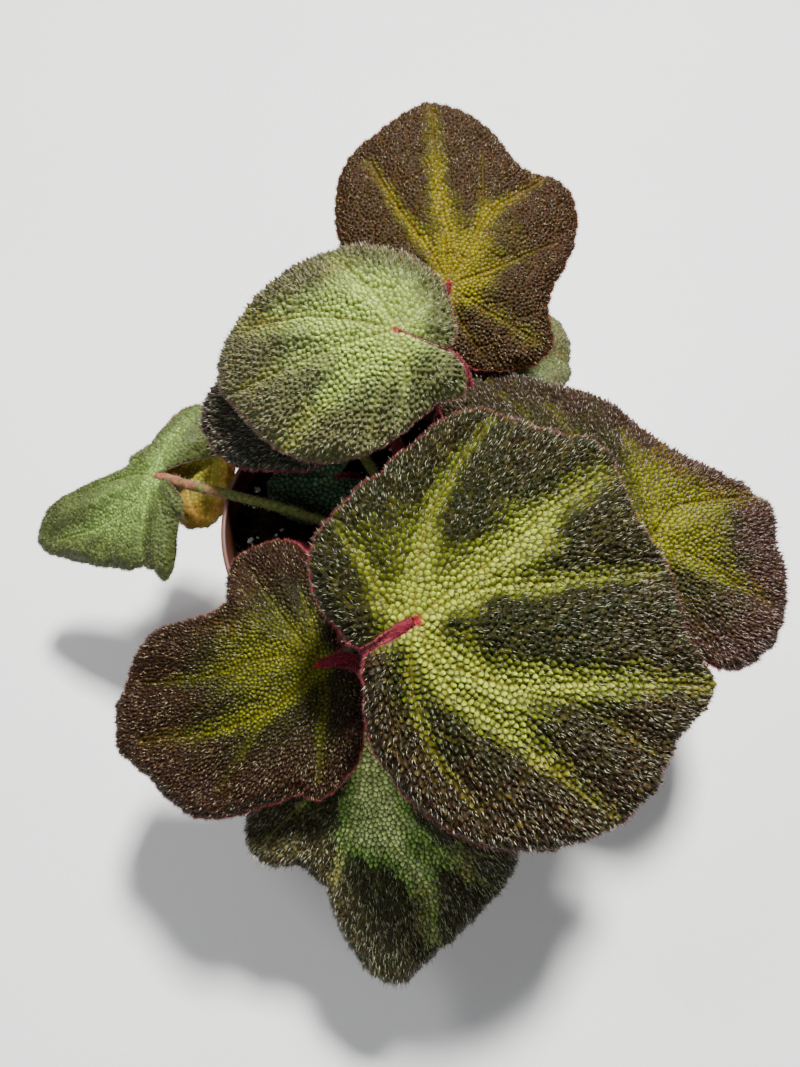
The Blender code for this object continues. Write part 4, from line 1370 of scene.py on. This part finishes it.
def turn_rings(name, profile, sides):
    """A disc extruded ring by ring through the other (radius, height) points."""
    deselect()
    radius, height = profile[0]
    bpy.ops.mesh.primitive_circle_add(vertices=sides, radius=radius * MM, fill_type="NGON",
                                      location=(0, 0, height * MM))
    piece = bpy.context.object
    piece.name = name
    bpy.ops.object.transform_apply(location=True, rotation=True, scale=True)
    edit_all()
    for wide, high in profile[1:]:
        rise = (0, 0, (high - height) * MM)
        bpy.ops.mesh.extrude_region_move(TRANSFORM_OT_translate={"value": rise})
        ratio = wide / radius
        bpy.ops.transform.resize(value=(ratio, ratio, 1), center_override=(0, 0, high * MM))
        radius, height = wide, high
    bpy.ops.mesh.select_all(action="SELECT")
    bpy.ops.mesh.normals_make_consistent(inside=False)
    bpy.ops.object.mode_set(mode="OBJECT")
    return piece


def apply_modifier(piece, name, kind, **settings):
    """Add a modifier, set it and apply it."""
    modifier = piece.modifiers.new(name, kind)
    for key, value in settings.items():
        setattr(modifier, key, value)
    pick(piece)
    bpy.ops.object.modifier_apply(modifier=name)


def arc(middle, radius, first, last, steps):
    """Points of an arc in the profile plane, from one angle to another in degrees."""
    turns = [math.radians(first + (last - first) * k / steps) for k in range(steps + 1)]
    return [(middle[0] + radius * math.cos(t), middle[1] + radius * math.sin(t)) for t in turns]


def make_pot():
    """The pot: inside wall, rolled lip, ribbed band, tapered wall, foot ring and pad."""
    profile = [(35.4, 4.5), (36.0, 4.9), (48.8, 72.5), (50.6, 75.5)]
    profile += arc((51.45, 89.35), 0.65, 180, 90, 4)
    profile += arc((51.9, 89.35), 0.65, 90, 0, 4)
    for high in (85.6, 84.6, 76.4, 75.4):
        profile += [(52.25, high + 0.45), (52.45, high), (52.25, high - 0.45)]
    profile += arc((52.0, 74.4), 0.4, 0, -80, 3)
    profile += [(50.5, 73.9), (50.2, 73.4)]
    for high in (60.0, 20.0):
        radius = 37.5 + (50.2 - 37.5) * high / 73.4
        profile += [(radius + 0.04, high + 0.5), (radius + 0.3, high), (radius - 0.02, high - 0.5)]
    profile += arc((36.9, 0.6), 0.6, 0, -90, 3)
    profile += [(32.5, 0.0), (31.5, 3.0), (13.0, 3.0), (12.0, 0.0)]
    pot = turn_rings("pot_shell", profile, POT_SIDES)
    cutter = cut_tools()
    apply_modifier(pot, "Drains", "BOOLEAN", operation="DIFFERENCE", object=cutter,
                   solver="EXACT")
    bpy.data.objects.remove(cutter)
    pot.data.materials.clear()
    pot.data.materials.append(MATERIALS["pot_plastic"])
    pick(pot)
    bpy.ops.object.shade_smooth_by_angle(angle=math.radians(35))
    settle(pot)
    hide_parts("pot")


def cut_tools():
    """Drills for the six drain holes and blocks for the notches through the foot ring."""
    deselect()
    pieces = []
    for k in range(DRAINS):
        x, y = flat_at(360 / DRAINS * k, DRAIN_CIRCLE * MM)
        bpy.ops.mesh.primitive_cylinder_add(
            vertices=28, radius=DRAIN_RADIUS * MM, depth=8 * MM, location=(x, y, 3.6 * MM),
            rotation=(0, 0, math.radians(5)))
        pieces.append(bpy.context.object)
        turn = 360 / DRAINS * (k + 0.5)
        x, y = flat_at(turn, NOTCH_CIRCLE * MM)
        bpy.ops.mesh.primitive_cube_add(
            size=1, scale=NOTCH_BLOCK, location=(x, y, 0), rotation=(0, 0, math.radians(turn)))
        pieces.append(bpy.context.object)
    pick(*pieces)
    bpy.ops.object.join()
    bpy.ops.object.transform_apply(location=True, rotation=True, scale=True)
    return bpy.context.object


def make_soil():
    """Potting soil with a lumpy top, filling the pot."""
    soil = turn_rings("soil_bed", [(35.0, 4.9), (35.6, 5.2), (48.4, 72.5), (50.0, 75.8),
                                   (50.2, SOIL_TOP)], SOIL_SIDES)
    edit_all()
    bpy.ops.mesh.select_all(action="DESELECT")
    bpy.ops.object.mode_set(mode="OBJECT")
    top = max(soil.data.polygons, key=lambda face: face.center.z)
    for face in soil.data.polygons:
        face.select = face.index == top.index
    bpy.ops.object.mode_set(mode="EDIT")
    bpy.ops.mesh.select_mode(type="FACE")
    for _ in range(SOIL_RINGS):
        bpy.ops.mesh.inset(thickness=SOIL_RING_WIDTH * MM)
    bpy.ops.object.mode_set(mode="OBJECT")
    group = soil.vertex_groups.new(name="top")
    for vertex in soil.data.vertices:
        if vertex.co.z > (SOIL_TOP - 0.1) * MM and vertex.co.xy.length < 49.8 * MM:
            group.add([vertex.index], 1.0, "REPLACE")
    for size, strength in SOIL_LUMPS:
        lumps = bpy.data.textures.new("soil_lumps", "CLOUDS")
        lumps.noise_scale = size * MM
        lumps.noise_depth = 2
        apply_modifier(soil, "Lumps", "DISPLACE", texture=lumps, strength=strength * MM,
                       mid_level=0.5, direction="Z", vertex_group="top",
                       texture_coords="LOCAL")
    soil.data.materials.clear()
    soil.data.materials.append(MATERIALS["soil_mix"])
    soil.data.shade_smooth()
    settle(soil)
    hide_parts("soil")


def lump(radius, stretch, seed, subdivisions=1):
    """Corners and faces of one rough lump, modelled at the origin."""
    deselect()
    bpy.ops.mesh.primitive_ico_sphere_add(subdivisions=subdivisions, radius=radius * MM)
    piece = bpy.context.object
    edit_all()
    bpy.ops.transform.resize(value=stretch)
    bpy.ops.transform.vertex_random(offset=0.45 * radius * MM, uniform=0.6, normal=0.4,
                                    seed=seed)
    bpy.ops.object.mode_set(mode="OBJECT")
    corners = np.array([vertex.co for vertex in piece.data.vertices]) / MM
    faces = np.array([tuple(face.vertices) for face in piece.data.polygons])
    bpy.data.objects.remove(piece)
    return corners, faces


def scatter(name, shapes, places, sizes, skin, seed):
    """Turned and sized copies of a few lumps in one mesh."""
    rng = np.random.default_rng(seed)
    rows = []
    faces = []
    count = 0
    for place, size in zip(places, sizes):
        corners, sides = shapes[rng.integers(len(shapes))]
        spin = Matrix.Rotation(rng.random() * 6.3, 3, Vector(unit(rng.normal(0, 1, 3))))
        rows.append(corners @ np.array(spin) * size + place)
        faces.append(sides + count)
        count += len(corners)
    piece = make_piece(name, np.concatenate(rows), np.concatenate(faces).tolist(), skin)
    piece.data.shade_flat()
    return piece


def make_crumbs():
    """Loose crumbs and chips of bark on the soil, and small grains of perlite."""
    rng = np.random.default_rng(5)
    shapes = [lump(1.0, (1.3, 1.0, 0.8), 1), lump(1.0, (1.7, 0.8, 0.5), 2),
              lump(1.0, (1.0, 1.0, 0.9), 3)]
    turn = rng.random(CRUMBS) * 2 * math.pi
    reach = CRUMBS_REACH * np.sqrt(rng.random(CRUMBS))
    rise = SOIL_TOP + rng.normal(0.5, 0.5, CRUMBS)
    places = np.column_stack([reach * np.cos(turn), reach * np.sin(turn), rise])
    sizes = 0.35 + 0.9 * rng.random(CRUMBS) ** 2.5
    scatter("soil_crumbs", shapes, places, sizes, "crumbs", 6)
    sizes = 0.3 + 0.45 * rng.random(PERLITE_DUST)
    scatter("perlite_dust", shapes, places[:PERLITE_DUST] + [0, 0, 0.4], sizes,
            "perlite_grain", 7)


def make_perlite():
    """The larger grains of perlite, each in the place of its node."""
    for number in range(1, 6):
        node = "perlite_%d" % number
        low, high = (np.array(corner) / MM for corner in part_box(node))
        corners, faces = lump(1.0, (1.1, 1.0, 0.9), 20 + number, 2)
        piece = make_piece(node + "_grain", corners + (low + high) / 2, faces.tolist(),
                           "perlite_grain")
        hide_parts(node)


def make_root():
    """The creeping rootstock, scarred, with a few old bristles."""
    line = smooth_course(root_points(), 1.0)
    share = np.linspace(0, 1, len(line))
    radii = ROOT_RADIUS * np.clip(1 - (2 * np.abs(share - 0.5)) ** 14, 0.15, 1) ** 0.5
    piece, rings, normals = make_tube("root_bark", line, radii, ROOT_SIDES, 0.22, "root_bark",
                                      9.0)
    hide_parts("rootstock")
    rng = np.random.default_rng(12)
    make_bristles("root_bristles", rings, normals, ROOT_BRISTLES, 0.5, 1.0, 1.2, HAIR_WIDTH,
                  rng)


# ---------------------------------------------------------------- floor, light, camera

def make_floor():
    """A plain pale bench top, which isn't part of the plant."""
    deselect()
    bpy.ops.mesh.primitive_plane_add(size=6.0, location=(0, 0, -0.0002))
    floor = bpy.context.object
    floor.name = "bench_top"
    bpy.ops.object.transform_apply(location=True, rotation=True, scale=True)
    floor.data.materials.append(MATERIALS["bench"])


def light_scene():
    """Clear light from above and behind, two weaker ones, and a pale surround."""
    for name, place, size, power, colour in LIGHTS:
        light = bpy.data.lights.new(name, "AREA")
        light.shape = "SQUARE"
        light.size = size
        light.energy = power
        light.color = colour
        lamp = add_object(name, light)
        lamp.location = place
        aim = Vector(LIGHT_TARGET) - Vector(place)
        lamp.rotation_euler = aim.to_track_quat("-Z", "Y").to_euler()
    world = bpy.data.worlds.new("studio")
    world.use_nodes = True
    surround = world.node_tree.nodes["Background"]
    surround.inputs["Color"].default_value = SURROUND_COLOUR
    surround.inputs["Strength"].default_value = SURROUND_STRENGTH
    bpy.context.scene.world = world


def add_camera():
    """The camera, above the pot and a little in front of it."""
    camera = bpy.data.cameras.new("camera")
    camera.sensor_width = CAMERA_SENSOR
    camera.lens = CAMERA_LENS
    camera.clip_start = 0.01
    holder = add_object("camera", camera)
    holder.location = Vector(CAMERA_PLACE) * MM
    holder.rotation_euler = (CAMERA_TILT, 0, 0)
    bpy.context.scene.camera = holder


# ---------------------------------------------------------------- making it all

MATERIALS = make_materials()
add_camera()
light_scene()
make_floor()
make_pot()
make_soil()
make_crumbs()
make_perlite()
make_root()
for number, (name, leaf) in enumerate(LEAVES.items()):
    line = stalk_course(make_blade(name, leaf, number))
    node = name.replace("leaf", "stalk")
    make_stalk(node, line, number, *(OLD_STALK if name in OLD_LEAVES else RED_STALK))
make_bud()
